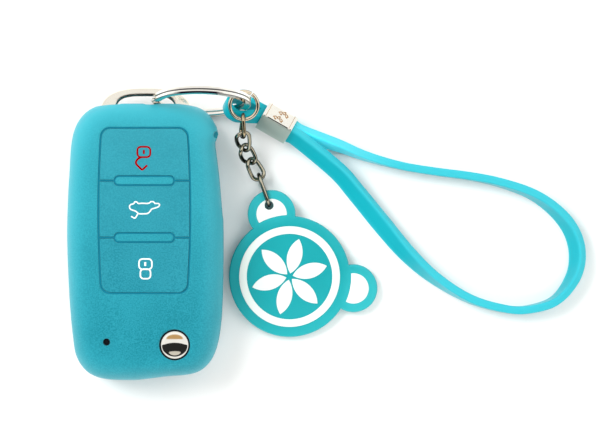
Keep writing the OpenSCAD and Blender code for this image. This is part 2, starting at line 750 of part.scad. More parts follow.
module chain_link(i) {
    l = i == 4 ? long_l : link_l;
    w = i == 4 ? long_w : link_w;
    dir = link_dir(i);
    mid = (joint_at(i) + joint_at(i + 1))/2;
    angles = [for (k = [0:link_steps - 1]) 360*(k + 0.5)/link_steps];
    points = [for (a = angles) link_point(mid, dir, l, w, link_starts[i], link_ends[i], a)];
    normals = [for (a = angles) let (
            share = 0.5 + link_flat(l, w, a)[0]/(l - wire),
            tilt = link_starts[i] + (link_ends[i] - link_starts[i])*share)
        cross(dir, link_side(dir, tilt))];
    tube_loop(points, normals, wire/2, link_sides);
}

module chain_link_1() { color([0.62, 0.60, 0.52]) chain_link(0); }
module chain_link_2() { color([0.55, 0.54, 0.48]) chain_link(1); }
module chain_link_3() { color([0.55, 0.54, 0.48]) chain_link(2); }
module chain_link_4() { color([0.62, 0.60, 0.52]) chain_link(3); }
module chain_link_5() { color([0.62, 0.60, 0.52]) chain_link(4); }

// Charm: a soft two-colour disc with two ear lugs, tipped up by the link under one ear
hang_at = joint_at(5);                         // middle of the joint between the long link and the ear
hang_turn = -74;                               // heading from the ear's hole to the disc's centre
ear_reach = charm_d/2 + ear_d*0.095;           // from the disc's centre to an ear's centre
ear_hole_r = 1.25;
ear_hole_in = 4.1;                             // from the ear's rim to its hole's centre
ear_spread = 116.5;                            // angle between the two ears, in degrees
hole_reach = ear_reach + ear_d/2 - ear_hole_in;
charm_rise = hang_at[2] - charm_t/2 - fit_gap; // height of the ear's underside at the hole
charm_tip = asin(charm_rise/(hole_reach + (wire + link_play)/2 + charm_d/2));
halo_in = charm_d/2 - halo_d/2;
petal_r = halo_d/2 - halo_w - 1.1;
ear_inlay_d = ear_d - 4.8;
inlay_arc_r = charm_d/2 + 0.3;
petal_share = 0.42;                            // width of a petal over its length
petal_gap = 0.9;                               // bare centre between the petals' points

// Places its children in the charm's own frame: the disc's centre, +X towards the first ear
module charm_frame() {
    translate([hang_at[0], hang_at[1], hang_at[2]])
        rotate([0, 0, hang_turn + 180]) rotate([0, -charm_tip, 0])
            translate([-hole_reach - (wire + link_play)/2, 0, -charm_t/2]) children();
}

module charm_plan() {
    circle(d = charm_d, $fn = 96);
    for (a = [0, -ear_spread]) rotate(a) translate([ear_reach, 0]) circle(d = ear_d);
}

module halo_plan() {
    difference() {
        circle(d = halo_d, $fn = 96);
        circle(d = halo_d - 2*halo_w, $fn = 96);
    }
}

// A pointed petal, where two equal circles overlap
module petal_plan() {
    l = petal_r - petal_gap;
    w = petal_share*l;
    arc_r = (l*l + w*w)/(4*w);
    translate([petal_gap + l/2, 0]) intersection() {
        translate([0, arc_r - w/2]) circle(r = arc_r, $fn = 96);
        translate([0, w/2 - arc_r]) circle(r = arc_r, $fn = 96);
    }
}

module rosette_plan() {
    for (a = [0:60:300]) rotate(a + 30) petal_plan();
}

module ear_plan() {
    for (a = [0, -ear_spread]) rotate(a)
        difference() {
            translate([ear_reach, 0]) circle(d = ear_inlay_d);
            circle(r = inlay_arc_r, $fn = 96);
            translate([hole_reach, 0]) circle(r = ear_hole_r);
        }
}

module charm_disc() {
    color([0.13, 0.72, 0.74])
    charm_frame() difference() {
        linear_extrude(charm_t) charm_plan();
        translate([0, 0, charm_t - inlay_t]) linear_extrude(inlay_t + over) {
            halo_plan();
            rosette_plan();
            ear_plan();
        }
        translate([hole_reach, 0, -over]) cylinder(r = ear_hole_r, h = charm_t + 2*over);
    }
}

module charm_halo() {
    color([0.94, 0.99, 0.98])
    charm_frame() translate([0, 0, charm_t - inlay_t]) linear_extrude(inlay_t) halo_plan();
}

module charm_rosette() {
    color([0.94, 0.99, 0.98])
    charm_frame() translate([0, 0, charm_t - inlay_t]) linear_extrude(inlay_t) rosette_plan();
}

module charm_ear_inlays() {
    color([0.94, 0.99, 0.98])
    charm_frame() translate([0, 0, charm_t - inlay_t]) linear_extrude(inlay_t) ear_plan();
}

// Strap: its eye round the split ring, the sleeve that holds its two ends, and the free loop
sleeve_turn = -29.8;                           // heading of the sleeve, in degrees
sleeve_dip = 2;                                // slope of the sleeve down from the ring
sleeve_roll = 51;                              // tilt of the strap's broad face from level
sleeve_at = [ring_at[0] + ring_d*20.9/28, ring_at[1] - ring_d*5.55/28, 4.3];
strap_dir = heading(sleeve_turn, sleeve_dip);
strap_flat = cross([0, 0, 1], strap_dir)/norm(cross([0, 0, 1], strap_dir));
strap_face = cos(sleeve_roll)*cross(strap_dir, strap_flat) - sin(sleeve_roll)*strap_flat;
strap_edge = cross(strap_face, strap_dir);
// Where the split ring crosses the middle of the strap's width
eye_turn = [ring_r*ring_u*strap_edge, ring_r*ring_v*strap_edge, (ring_at - sleeve_at)*strap_edge];
eye_a = atan2(eye_turn[1], eye_turn[0]) - acos(-eye_turn[2]/norm([eye_turn[0], eye_turn[1]]));
eye_offset = ring_point(eye_a) - sleeve_at;
eye_slack = [-0.1, -0.45];                     // how far the ring lies from the middle of the eye
eye_along = eye_offset*strap_dir + eye_slack[0];
eye_aside = eye_offset*strap_face + eye_slack[1];
eye_wall = 1.5;                                // thickness of the strap round the eye
eye_w = 4;                                     // width of the strap round the eye
slit_w = 0.25;                                 // parting of the strap's two layers beside the eye

// Places its children with X along the strap, Y out of its broad face and Z across its width
module strap_frame() {
    multmatrix([
        [strap_dir[0], strap_face[0], strap_edge[0], sleeve_at[0]],
        [strap_dir[1], strap_face[1], strap_edge[1], sleeve_at[1]],
        [strap_dir[2], strap_face[2], strap_edge[2], sleeve_at[2]],
        [0, 0, 0, 1]
    ]) children();
}

// Outline of a round end of radius r that narrows to a stem of half width h at x
function drop(r, h, x) =
    let (away = norm([eye_along - x, eye_aside]))
    [[x, -h], [x, h],
     [eye_along, eye_aside] + r*[-0.05, 1], [eye_along, eye_aside] + r*[-0.05, -1]];

module strap_eye() {
    color([0.19, 0.80, 0.88])
    strap_frame() difference() {
        union() {
            translate([-sleeve_l/2, -strap_t, -strap_w/2]) cube([sleeve_l, 2*strap_t, strap_w]);
            translate([0, 0, -eye_w/2]) linear_extrude(eye_w) {
                translate([eye_along, eye_aside]) circle(d = eye_d + 2*eye_wall);
                polygon(drop(eye_d/2 + eye_wall, strap_t, -sleeve_l/2));
            }
        }
        translate([0, 0, -strap_w]) linear_extrude(2*strap_w) {
            translate([eye_along, eye_aside]) circle(d = eye_d);
            polygon(drop(eye_d/2, slit_w/2, -sleeve_l/2 - strap_t/2));
        }
    }
}

sleeve_out = 2*strap_t + 2*sleeve_wall + 2*fit_gap;
sleeve_soft = 0.5;

module strap_sleeve() {
    color([0.90, 0.89, 0.84])
    strap_frame() rotate([0, 90, 0]) translate([0, 0, -sleeve_l/2]) difference() {
        linear_extrude(sleeve_l) polygon(round_rect(strap_w + 2*sleeve_wall + 2*fit_gap, sleeve_out, sleeve_soft));
        translate([0, 0, -over]) linear_extrude(sleeve_l + 2*over)
            polygon(round_rect(strap_w + 2*fit_gap, 2*strap_t + 2*fit_gap, fit_gap));
    }
}

// Route of the free loop: x, y, z of the strap's middle and the roll of its outer face, in degrees
strap_route = [
    [52.5, 26.5, 3.8, 108], [60.3, 23.5, 3.1, 97], [69.9, 20.9, 2.95, 90], [79.3, 19.3, 2.95, 90],
    [89.0, 18.0, 2.95, 91], [97.4, 16.2, 3.0, 95], [106.2, 13.0, 3.1, 102], [112.9, 8.2, 3.1, 113],
    [117.2, 2.5, 3.1, 122], [118.7, -3.9, 3.1, 124], [117.3, -10.3, 3.1, 114], [112.4, -16.4, 3.0, 98],
    [104.8, -18.8, 2.95, 91], [98.2, -18.5, 2.95, 88], [88.9, -15.8, 3.0, 84], [79.6, -10.3, 3.1, 71],
    [72.0, -3.6, 3.1, 51], [65.0, 4.5, 3.1, 36], [57.9, 13.2, 3.4, 38], [52.4, 19.5, 3.8, 42]
];
strap_aside = strap_t/2 + fit_gap;             // from the sleeve's axis to the middle of each layer
strap_ends = [sleeve_at + sleeve_l/2*strap_dir - strap_aside*strap_face,
              sleeve_at + sleeve_l/2*strap_dir + strap_aside*strap_face];
strap_lead = 3;                                // straight length of the strap past the sleeve
strap_parts = 3;

function route_with_roll() = concat(
    [[each strap_ends[0], 180 - sleeve_roll], [each (strap_ends[0] + strap_lead*strap_dir), 178 - sleeve_roll]],
    strap_route,
    [[each (strap_ends[1] + strap_lead*strap_dir), sleeve_roll - 2], [each strap_ends[1], sleeve_roll]]
);

// A smooth curve through four neighbours, at share s between the middle two
function through(a, b, c, d, s) =
    0.5*((2*b) + (c - a)*s + (2*a - 5*b + 4*c - d)*s*s + (3*b - a - 3*c + d)*s*s*s);

module wrist_strap() {
    stops = route_with_roll();
    last = len(stops) - 1;
    path = [for (i = [0:last - 1], k = [0:(i == last - 1 ? strap_parts : strap_parts - 1)]) let (s = k/strap_parts)
        through(stops[max(i - 1, 0)], stops[i], stops[i + 1], stops[min(i + 2, last)], s)];
    rings = [for (i = [0:len(path) - 1]) let (
            here = [path[i][0], path[i][1], path[i][2]],
            a = path[max(i - 1, 0)], b = path[min(i + 1, len(path) - 1)],
            raw = i == 0 ? strap_dir : i == len(path) - 1 ? -strap_dir : [b[0] - a[0], b[1] - a[1], b[2] - a[2]],
            t = raw/norm(raw),
            flat = cross([0, 0, 1], t)/norm(cross([0, 0, 1], t)),
            up = cross(t, flat),
            out = cos(path[i][3])*up + sin(path[i][3])*flat,
            wide = cross(t, out))
        [for (p = section(strap_t, strap_w, strap_t*0.16)) here + p[0]*out + p[1]*wide]];
    color([0.19, 0.82, 0.90]) skin(rings);
}

cover();
unlock_pad();
boot_pad();
lock_pad();
key_front_shell();
key_rear_shell();
unlock_key();
boot_key();
lock_key();
circuit_board();
tact_switches();
coin_cell();
battery_clips();
led();
transponder_chip();
pivot_post();
blade_hub();
key_blade();
blade_pin();
release_button();
flip_spring();
key_bail();
split_ring();
jump_ring();
chain_link_1();
chain_link_2();
chain_link_3();
chain_link_4();
chain_link_5();
charm_disc();
charm_halo();
charm_rosette();
charm_ear_inlays();
strap_eye();
strap_sleeve();
wrist_strap();
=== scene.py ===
"""Looks of a soft key cover on its folding key, with key ring, chain charm and wrist strap.

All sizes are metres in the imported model's own frame: the origin is the centre of the cover's flat
underside, +Y runs towards the bail and +Z out of the buttons. The piece lies on a white table.
"""
import logging
from collections.abc import Callable, Sequence
from dataclasses import dataclass, field
from enum import Enum
from math import acos, asin, atan2, ceil, copysign, cos, degrees, hypot, pi, radians, sin

import bmesh
import bpy
import numpy as np
from bpy.types import Material, Node, NodeSocket, NodeTree, Object
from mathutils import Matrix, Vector


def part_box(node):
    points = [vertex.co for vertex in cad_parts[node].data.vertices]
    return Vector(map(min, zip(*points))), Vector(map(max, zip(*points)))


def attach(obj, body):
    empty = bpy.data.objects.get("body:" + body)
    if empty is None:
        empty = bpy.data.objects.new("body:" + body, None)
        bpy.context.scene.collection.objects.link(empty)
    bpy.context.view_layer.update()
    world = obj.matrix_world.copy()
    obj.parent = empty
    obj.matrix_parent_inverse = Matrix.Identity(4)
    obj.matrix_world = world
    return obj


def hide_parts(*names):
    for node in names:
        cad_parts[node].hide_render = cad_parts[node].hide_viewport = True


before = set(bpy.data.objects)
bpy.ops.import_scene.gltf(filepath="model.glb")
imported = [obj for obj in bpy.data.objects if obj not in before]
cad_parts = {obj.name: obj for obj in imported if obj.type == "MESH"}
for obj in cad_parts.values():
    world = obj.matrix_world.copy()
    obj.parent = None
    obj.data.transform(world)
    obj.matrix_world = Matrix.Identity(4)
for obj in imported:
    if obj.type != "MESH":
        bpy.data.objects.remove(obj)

LOG = logging.getLogger("cover")
MM = 0.001
FULL_TURN = 2 * pi
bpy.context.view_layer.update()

Pair = tuple[float, float]
Point = tuple[float, float, float]
Colour = tuple[float, float, float]
BLACK = (0.0, 0.0, 0.0)


class Twist(Enum):
    """How a swept section is kept from turning round its path."""

    FLAT = "Z_UP"
    LEAST = "MINIMUM_TWIST"


class Graph:
    """A node tree with short ways to add nodes, join them and set their values."""

    def __init__(self, tree: NodeTree) -> None:
        """Wraps a geometry or shader tree."""
        self.tree = tree

    def add(self, kind: str, values: dict | None = None, **settings: object) -> Node:
        """Adds a node.

        Args:
            kind: the node's type name.
            values: what each input holds, by name or place. A socket there is joined instead.
            settings: properties of the node itself.

        Returns:
            The new node.
        """
        node = self.tree.nodes.new(kind)
        for name, value in settings.items():
            setattr(node, name, value)
        self.give(node, values or {})
        return node

    def give(self, node: Node, values: dict) -> None:
        """Fills a node's inputs.

        Args:
            node: the node.
            values: what each input holds, as in add.
        """
        for name, value in values.items():
            if isinstance(value, NodeSocket):
                self.tree.links.new(value, node.inputs[name])
            else:
                node.inputs[name].default_value = value

    def math(self, operation: str, *values: object) -> NodeSocket:
        """Adds a Math node and returns its result."""
        return self.add("ShaderNodeMath", dict(enumerate(values)), operation=operation).outputs[0]

    def blend(self, share: NodeSocket, under: object, over: object) -> NodeSocket:
        """Mixes one colour over another by a share. Each colour is a socket or a value."""
        values = {"Factor": share, 6: under, 7: over}
        return self.add("ShaderNodeMix", values, data_type="RGBA").outputs[2]

    def mask(self, name: str) -> NodeSocket:
        """Reads a mask that is stored on the piece's points."""
        return self.add("ShaderNodeAttribute", attribute_name=name).outputs["Fac"]

    def remap(self, value: NodeSocket, start: Sequence, stop: Sequence = (0.0, 1.0)) -> NodeSocket:
        """Maps a value from one range to another and holds it at the ends."""
        ends = {"From Min": start[0], "From Max": start[1], "To Min": stop[0], "To Max": stop[1]}
        return self.add("ShaderNodeMapRange", {"Value": value, **ends}).outputs[0]

    def port(self, name: str, kind: str, is_output: bool = False, value: object = None) -> None:
        """Adds a named socket to the tree's own interface.

        Args:
            name: the socket's name.
            kind: the socket's type after NodeSocket, such as Float.
            is_output: whether it is an output.
            value: what it holds when nothing is joined to it.
        """
        socket = self.tree.interface.new_socket(
            name, in_out="OUTPUT" if is_output else "INPUT", socket_type=f"NodeSocket{kind}")
        if value is not None:
            socket.default_value = value


# Meshes

def add_object(name: str, data: object) -> Object:
    """Adds an object to the scene.

    Args:
        name: its name.
        data: its mesh, light or camera.

    Returns:
        The object.
    """
    obj = bpy.data.objects.new(name, data)
    bpy.context.scene.collection.objects.link(obj)
    return obj


def place(name: str, verts: np.ndarray, faces: Sequence[Sequence[int]]) -> Object:
    """Makes a mesh object at the origin.

    Args:
        name: the object's name.
        verts: an array of points.
        faces: the faces as lists of point numbers.

    Returns:
        The object, linked to the scene.
    """
    mesh = bpy.data.meshes.new(name)
    mesh.from_pydata([tuple(v) for v in verts], [], [tuple(f) for f in faces])
    mesh.validate()
    mesh.update()
    return add_object(name, mesh)


def level(outline: np.ndarray, z: float) -> np.ndarray:
    """Lays a flat outline at a height."""
    return np.column_stack([outline, np.full(len(outline), z)])


def upright(outline: np.ndarray, x: float) -> np.ndarray:
    """Stands a flat outline across the X axis, at a place along it."""
    return np.column_stack([np.full(len(outline), x), outline])


def points_of(obj: Object) -> np.ndarray:
    """Gives a mesh's points."""
    return np.array([v.co for v in obj.data.vertices])


def move_points(obj: Object, points: np.ndarray) -> None:
    """Puts a mesh's points in new places."""
    obj.data.vertices.foreach_set("co", points.ravel())
    obj.data.update()


def mark(obj: Object, name: str, share: np.ndarray) -> None:
    """Stores a mask on a mesh's points, for its finish to read."""
    layer = obj.data.attributes.new(name, "FLOAT", "POINT")
    layer.data.foreach_set("value", share.astype(np.float32).ravel())


def loft(name: str, rings: np.ndarray, is_loop: bool = False) -> Object:
    """Skins a row of closed rings.

    Args:
        name: the object's name.
        rings: an array of rings by points by three, all rings with as many points.
        is_loop: whether the last ring joins the first. If not, both ends are closed by a face.

    Returns:
        The object, with its faces turned outwards.
    """
    count, size = rings.shape[:2]
    rows = count if is_loop else count - 1
    faces = [
        (r * size + i, (r + 1) % count * size + i, (r + 1) % count * size + (i + 1) % size,
         r * size + (i + 1) % size)
        for r in range(rows) for i in range(size)]
    if not is_loop:
        faces += [tuple(range(size)), tuple((count - 1) * size + i for i in range(size))[::-1]]
    obj = place(name, rings.reshape(-1, 3), faces)
    turn_outwards(obj)
    return obj


def turn_outwards(obj: Object) -> None:
    """Merges double points and turns every face outwards.

    Args:
        obj: a closed mesh, which is changed.
    """
    work = bmesh.new()
    work.from_mesh(obj.data)
    bmesh.ops.remove_doubles(work, verts=work.verts, dist=1e-7)
    bmesh.ops.triangulate(work, faces=[f for f in work.faces if len(f.verts) > 4])
    bmesh.ops.recalc_face_normals(work, faces=work.faces)
    if work.calc_volume(signed=True) < 0:
        bmesh.ops.reverse_faces(work, faces=work.faces)
    work.to_mesh(obj.data)
    work.free()


def prism(name: str, outline: np.ndarray, low: float, high: float) -> Object:
    """Makes a straight prism over a flat outline, between two heights."""
    return loft(name, np.array([level(outline, z) for z in (low, high)]))


def box_between(name: str, low: Point, high: Point) -> Object:
    """Makes a box between its two corners."""
    outline = np.array([[low[0], low[1]], [high[0], low[1]], [high[0], high[1]], [low[0], high[1]]])
    return prism(name, outline, low[2], high[2])


def lathe(name: str, profile: Sequence[Pair], centre: Point, steps: int = 64) -> Object:
    """Turns a closed profile of radius and height round an upright axis.

    Args:
        name: the object's name.
        profile: closed points of radius and height, whose radii are above nought.
        centre: the axis and the height that the profile is measured from.
        steps: how many steps the turn has.

    Returns:
        The object.
    """
    x, y, z = centre
    rings = np.array([
        [(x + r * cos(a), y + r * sin(a), z + up) for r, up in profile]
        for a in np.linspace(0, FULL_TURN, steps, endpoint=False)])
    return loft(name, rings, is_loop=True)


def circle_points(radius: float, steps: int, centre: Pair = (0, 0)) -> np.ndarray:
    """Gives the points of a circle."""
    a = np.linspace(0, FULL_TURN, steps, endpoint=False)
    return np.column_stack([centre[0] + radius * np.cos(a), centre[1] + radius * np.sin(a)])


def apply_modifiers(obj: Object) -> Object:
    """Turns an object's modifiers into its plain mesh.

    Args:
        obj: the object, which is changed.

    Returns:
        The same object.
    """
    bpy.context.view_layer.update()
    evaluated = obj.evaluated_get(bpy.context.evaluated_depsgraph_get())
    mesh = bpy.data.meshes.new_from_object(evaluated)
    mesh.name = obj.name
    obj.modifiers.clear()
    obj.data = mesh
    return obj


def combine(obj: Object, others: Sequence[Object], operation: str = "DIFFERENCE") -> Object:
    """Cuts, joins or keeps what is common, one other solid after the other, and removes the others.

    Args:
        obj: the solid that is changed.
        others: the solids that work on it.
        operation: what they do, as the Boolean modifier names it.

    Returns:
        The changed solid.
    """
    for other in others:
        step = obj.modifiers.new("cut", "BOOLEAN")
        step.operation = operation
        step.solver = "MANIFOLD"
        step.object = other
        apply_modifiers(obj)
        bpy.data.objects.remove(other)
    return obj


def joined(first: Object, *others: Object) -> Object:
    """Puts solids that don't touch into one object.

    Args:
        first: the object that keeps them all.
        others: the objects that are taken in and removed.

    Returns:
        The first object.
    """
    work = bmesh.new()
    for obj in (first, *others):
        work.from_mesh(obj.data)
    work.to_mesh(first.data)
    work.free()
    for obj in others:
        bpy.data.objects.remove(obj)
    return first


def smooth(obj: Object, angle: float) -> None:
    """Shades a mesh smooth, but keeps edges above an angle in degrees sharp."""
    obj.data.polygons.foreach_set("use_smooth", [True] * len(obj.data.polygons))
    obj.data.set_sharp_from_angle(angle=radians(angle))


def dress(obj: Object, material: Material) -> None:
    """Gives a piece one material.

    Args:
        obj: the piece.
        material: its only material from now on.
    """
    obj.data.materials.clear()
    obj.data.materials.append(material)
    obj.data.polygons.foreach_set("material_index", [0] * len(obj.data.polygons))


def path_object(name: str, points: Sequence[Sequence[float]], is_closed: bool = False) -> Object:
    """Makes a bare chain of edges for a geometry tree to follow.

    Args:
        name: the object's name.
        points: the chain's points.
        is_closed: whether the last point joins the first.

    Returns:
        The object.
    """
    mesh = bpy.data.meshes.new(name)
    count = len(points)
    edges = [(i, (i + 1) % count) for i in range(count if is_closed else count - 1)]
    mesh.from_pydata([tuple(p) for p in points], edges, [])
    return add_object(name, mesh)


def through(a: np.ndarray, b: np.ndarray, c: np.ndarray, d: np.ndarray, s: float) -> np.ndarray:
    """Gives the point at share s between the middle two of four neighbours, on a smooth curve."""
    square, cube = 2 * a - 5 * b + 4 * c - d, 3 * b - a - 3 * c + d
    return 0.5 * (2 * b + (c - a) * s + square * s**2 + cube * s**3)


def smooth_path(stops: np.ndarray, parts: int, is_closed: bool = False) -> np.ndarray:
    """Draws a smooth curve through given stops.

    Args:
        stops: the points, of any number of columns.
        parts: how many steps each stretch gets.
        is_closed: whether the curve comes back to its first stop.

    Returns:
        The points of the curve.
    """
    count = len(stops)
    rows = []
    for i in range(count if is_closed else count - 1):
        near = [(i + k) % count if is_closed else min(max(i + k, 0), count - 1) for k in (-1, 0, 1, 2)]
        rows += [through(*(stops[k] for k in near), s) for s in np.arange(parts) / parts]
    if not is_closed:
        rows.append(stops[-1])
    return np.array(rows)


# Geometry trees

class Tree:
    """Base of a geometry tree that is run on a path or a piece and leaves a plain mesh."""

    name = "tree"

    def __init__(self) -> None:
        """Builds the tree once."""
        self.graph = Graph(bpy.data.node_groups.new(self.name, "GeometryNodeTree"))
        self.graph.port("Geometry", "Geometry")
        self.graph.port("Geometry", "Geometry", is_output=True)
        self.declare()
        self.graph.port("Material", "Material")
        self.entry = self.graph.add("NodeGroupInput")
        shape = self.build()
        solid = self.graph.add("GeometryNodeRealizeInstances", {"Geometry": shape})
        done = self.graph.add("GeometryNodeSetMaterial", {
            "Geometry": solid.outputs[0], "Material": self.entry.outputs["Material"]})
        self.graph.add("NodeGroupOutput", {"Geometry": done.outputs[0]})

    def declare(self) -> None:
        """Adds the tree's own inputs."""
        raise NotImplementedError

    def build(self) -> NodeSocket:
        """Builds the nodes and returns the socket with the finished shape."""
        raise NotImplementedError

    def run(self, obj: Object, material: Material | None = None, **values: object) -> Object:
        """Runs the tree on an object and keeps the plain mesh.

        Args:
            obj: what the tree works on.
            material: the finish that the mesh gets.
            values: the tree's inputs, with their spaces as underscores.

        Returns:
            The same object, now with a plain mesh.
        """
        step = obj.modifiers.new(self.name, "NODES")
        step.node_group = self.graph.tree
        given = {name.replace("_", " "): value for name, value in values.items()}
        if material is not None:
            given["Material"] = material
        for item in self.graph.tree.interface.items_tree:
            if item.in_out == "INPUT" and item.name in given:
                step[item.identifier] = given[item.name]
        return apply_modifiers(obj)


class WireTree(Tree):
    """Sweeps an oval section along a path."""

    name = "wire"

    def __init__(self, twist: Twist) -> None:
        """Builds the tree for one way of holding the section."""
        self.twist = twist
        super().__init__()

    def declare(self) -> None:
        """Adds the section's width, its thickness and how many sides it has."""
        self.graph.port("Width", "Float", value=MM)
        self.graph.port("Thickness", "Float", value=MM)
        self.graph.port("Sides", "Int", value=12)

    def build(self) -> NodeSocket:
        """Turns the edges into a curve and sweeps the section.

        Returns:
            The socket with the swept wire.
        """
        g, ports = self.graph, self.entry.outputs
        line = g.add("GeometryNodeMeshToCurve", {"Mesh": ports["Geometry"]})
        held = g.add("GeometryNodeSetCurveNormal", {"Curve": line.outputs[0]}, mode=self.twist.value)
        half = [g.math("MULTIPLY", ports[name], 0.5) for name in ("Width", "Thickness")]
        scale = g.add("ShaderNodeCombineXYZ", {"X": half[0], "Y": half[1], "Z": 1.0})
        circle = g.add("GeometryNodeCurvePrimitiveCircle", {"Resolution": ports["Sides"], "Radius": 1.0})
        oval = g.add("GeometryNodeTransform", {"Geometry": circle.outputs[0], "Scale": scale.outputs[0]})
        swept = g.add("GeometryNodeCurveToMesh", {
            "Curve": held.outputs[0], "Profile Curve": oval.outputs[0], "Fill Caps": True})
        return g.add("GeometryNodeSetShadeSmooth", {"Geometry": swept.outputs[0]}).outputs[0]


class RowTree(Tree):
    """Sets small rounded studs in a row along a path."""

    name = "row"

    def declare(self) -> None:
        """Adds how many studs there are and their size."""
        self.graph.port("Count", "Int", value=8)
        self.graph.port("Length", "Float", value=MM)
        self.graph.port("Width", "Float", value=MM)

    def build(self) -> NodeSocket:
        """Places a squashed ball at each point, turned along the path.

        Returns:
            The socket with the studs.
        """
        g, ports = self.graph, self.entry.outputs
        line = g.add("GeometryNodeMeshToCurve", {"Mesh": ports["Geometry"]}).outputs[0]
        points = g.add("GeometryNodeCurveToPoints", {"Curve": line, "Count": ports["Count"]}, mode="COUNT")
        turn = g.add("FunctionNodeAlignRotationToVector", {"Vector": points.outputs["Tangent"]}, axis="X")
        size = g.add("ShaderNodeCombineXYZ", {"X": ports["Length"], "Y": ports["Width"], "Z": ports["Width"]})
        ball = g.add("GeometryNodeMeshUVSphere", {"Segments": 10, "Rings": 6, "Radius": 0.5})
        studs = g.add("GeometryNodeInstanceOnPoints", {
            "Points": points.outputs[0], "Instance": ball.outputs[0], "Rotation": turn.outputs[0],
            "Scale": size.outputs[0]})
        return g.add("GeometryNodeSetShadeSmooth", {"Geometry": studs.outputs[0]}).outputs[0]


class TurnTree(Tree):
    """Repeats a piece round the origin's upright axis."""

    name = "turn"

    def declare(self) -> None:
        """Adds how many copies there are and where the first one stands."""
        self.graph.port("Count", "Int", value=6)
        self.graph.port("Start", "Float", value=0.0)

    def build(self) -> NodeSocket:
        """Instances the piece on a ring of points, each turned a step further.

        Returns:
            The socket with the copies.
        """
        g, ports = self.graph, self.entry.outputs
        zero = g.add("ShaderNodeCombineXYZ")
        points = g.add("GeometryNodePoints", {"Count": ports["Count"], "Position": zero.outputs[0]})
        number = g.add("GeometryNodeInputIndex")
        share = g.math("DIVIDE", number.outputs[0], ports["Count"])
        angle = g.math("ADD", g.math("MULTIPLY", share, FULL_TURN), ports["Start"])
        turn = g.add("ShaderNodeCombineXYZ", {"Z": angle})
        copies = g.add("GeometryNodeInstanceOnPoints", {
            "Points": points.outputs[0], "Instance": ports["Geometry"], "Rotation": turn.outputs[0]})
        return copies.outputs[0]


# Shader groups

class Effect:
    """Base of a shader node group that several finishes share."""

    name = "effect"

    def __init__(self) -> None:
        """Builds the group once."""
        self.graph = Graph(bpy.data.node_groups.new(self.name, "ShaderNodeTree"))
        self.declare()
        self.entry = self.graph.add("NodeGroupInput")
        self.graph.add("NodeGroupOutput", self.build())

    def declare(self) -> None:
        """Adds the group's inputs and outputs."""
        raise NotImplementedError

    def build(self) -> dict[str, NodeSocket]:
        """Builds the nodes and returns what each output takes."""
        raise NotImplementedError

    def position(self) -> NodeSocket:
        """Gives the point on the piece, in its own metres."""
        return self.graph.add("ShaderNodeTexCoord").outputs["Object"]

    def noise(self, scale: object, detail: float = 3, vector: NodeSocket | None = None) -> NodeSocket:
        """Gives noise of a scale, in periods a metre."""
        values = {"Vector": vector or self.position(), "Scale": scale, "Detail": detail}
        return self.graph.add("ShaderNodeTexNoise", values).outputs["Fac"]

    def use(self, graph: Graph, **values: object) -> Node:
        """Places the group in a material, with its inputs' spaces as underscores."""
        given = {name.replace("_", " "): value for name, value in values.items()}
        return graph.add("ShaderNodeGroup", given, node_tree=self.graph.tree)


class Grain(Effect):
    """Fine relief of a moulded or blasted surface."""

    name = "grain"

    def declare(self) -> None:
        """Adds the fineness and depth, and the relief and a mask of it."""
        self.graph.port("Fineness", "Float", value=2500.0)
        self.graph.port("Depth", "Float", value=0.01 * MM)
        self.graph.port("Normal", "Vector", is_output=True)
        self.graph.port("Mask", "Float", is_output=True)

    def build(self) -> dict[str, NodeSocket]:
        """Makes a bump of fine noise.

        Returns:
            The sockets for the relief and its mask.
        """
        g, ports = self.graph, self.entry.outputs
        fine = self.noise(ports["Fineness"], 2)
        height = g.math("MULTIPLY", fine, ports["Depth"])
        bump = g.add("ShaderNodeBump", {"Height": height, "Strength": 1.0, "Distance": 1.0})
        return {"Normal": bump.outputs[0], "Mask": fine}


class Drift(Effect):
    """Slow change of a colour over the surface, with a fine speckle."""

    name = "drift"

    def declare(self) -> None:
        """Adds the two colours, the size of the patches and the speckle."""
        self.graph.port("Light", "Color")
        self.graph.port("Dark", "Color")
        self.graph.port("Patches", "Float", value=60.0)
        self.graph.port("Speckle", "Float", value=0.2)
        self.graph.port("Fineness", "Float", value=1800.0)
        self.graph.port("Color", "Color", is_output=True)

    def build(self) -> dict[str, NodeSocket]:
        """Mixes the two colours by patches and speckle.

        Returns:
            The socket for the colour.
        """
        g, ports = self.graph, self.entry.outputs
        patches = g.remap(self.noise(ports["Patches"], 2), (0.35, 0.65), (0.3, 0.7))
        fine = g.math("SUBTRACT", self.noise(ports["Fineness"], 1), 0.5)
        share = g.math("ADD", patches, g.math("MULTIPLY", fine, ports["Speckle"]))
        return {"Color": g.blend(share, ports["Light"], ports["Dark"])}


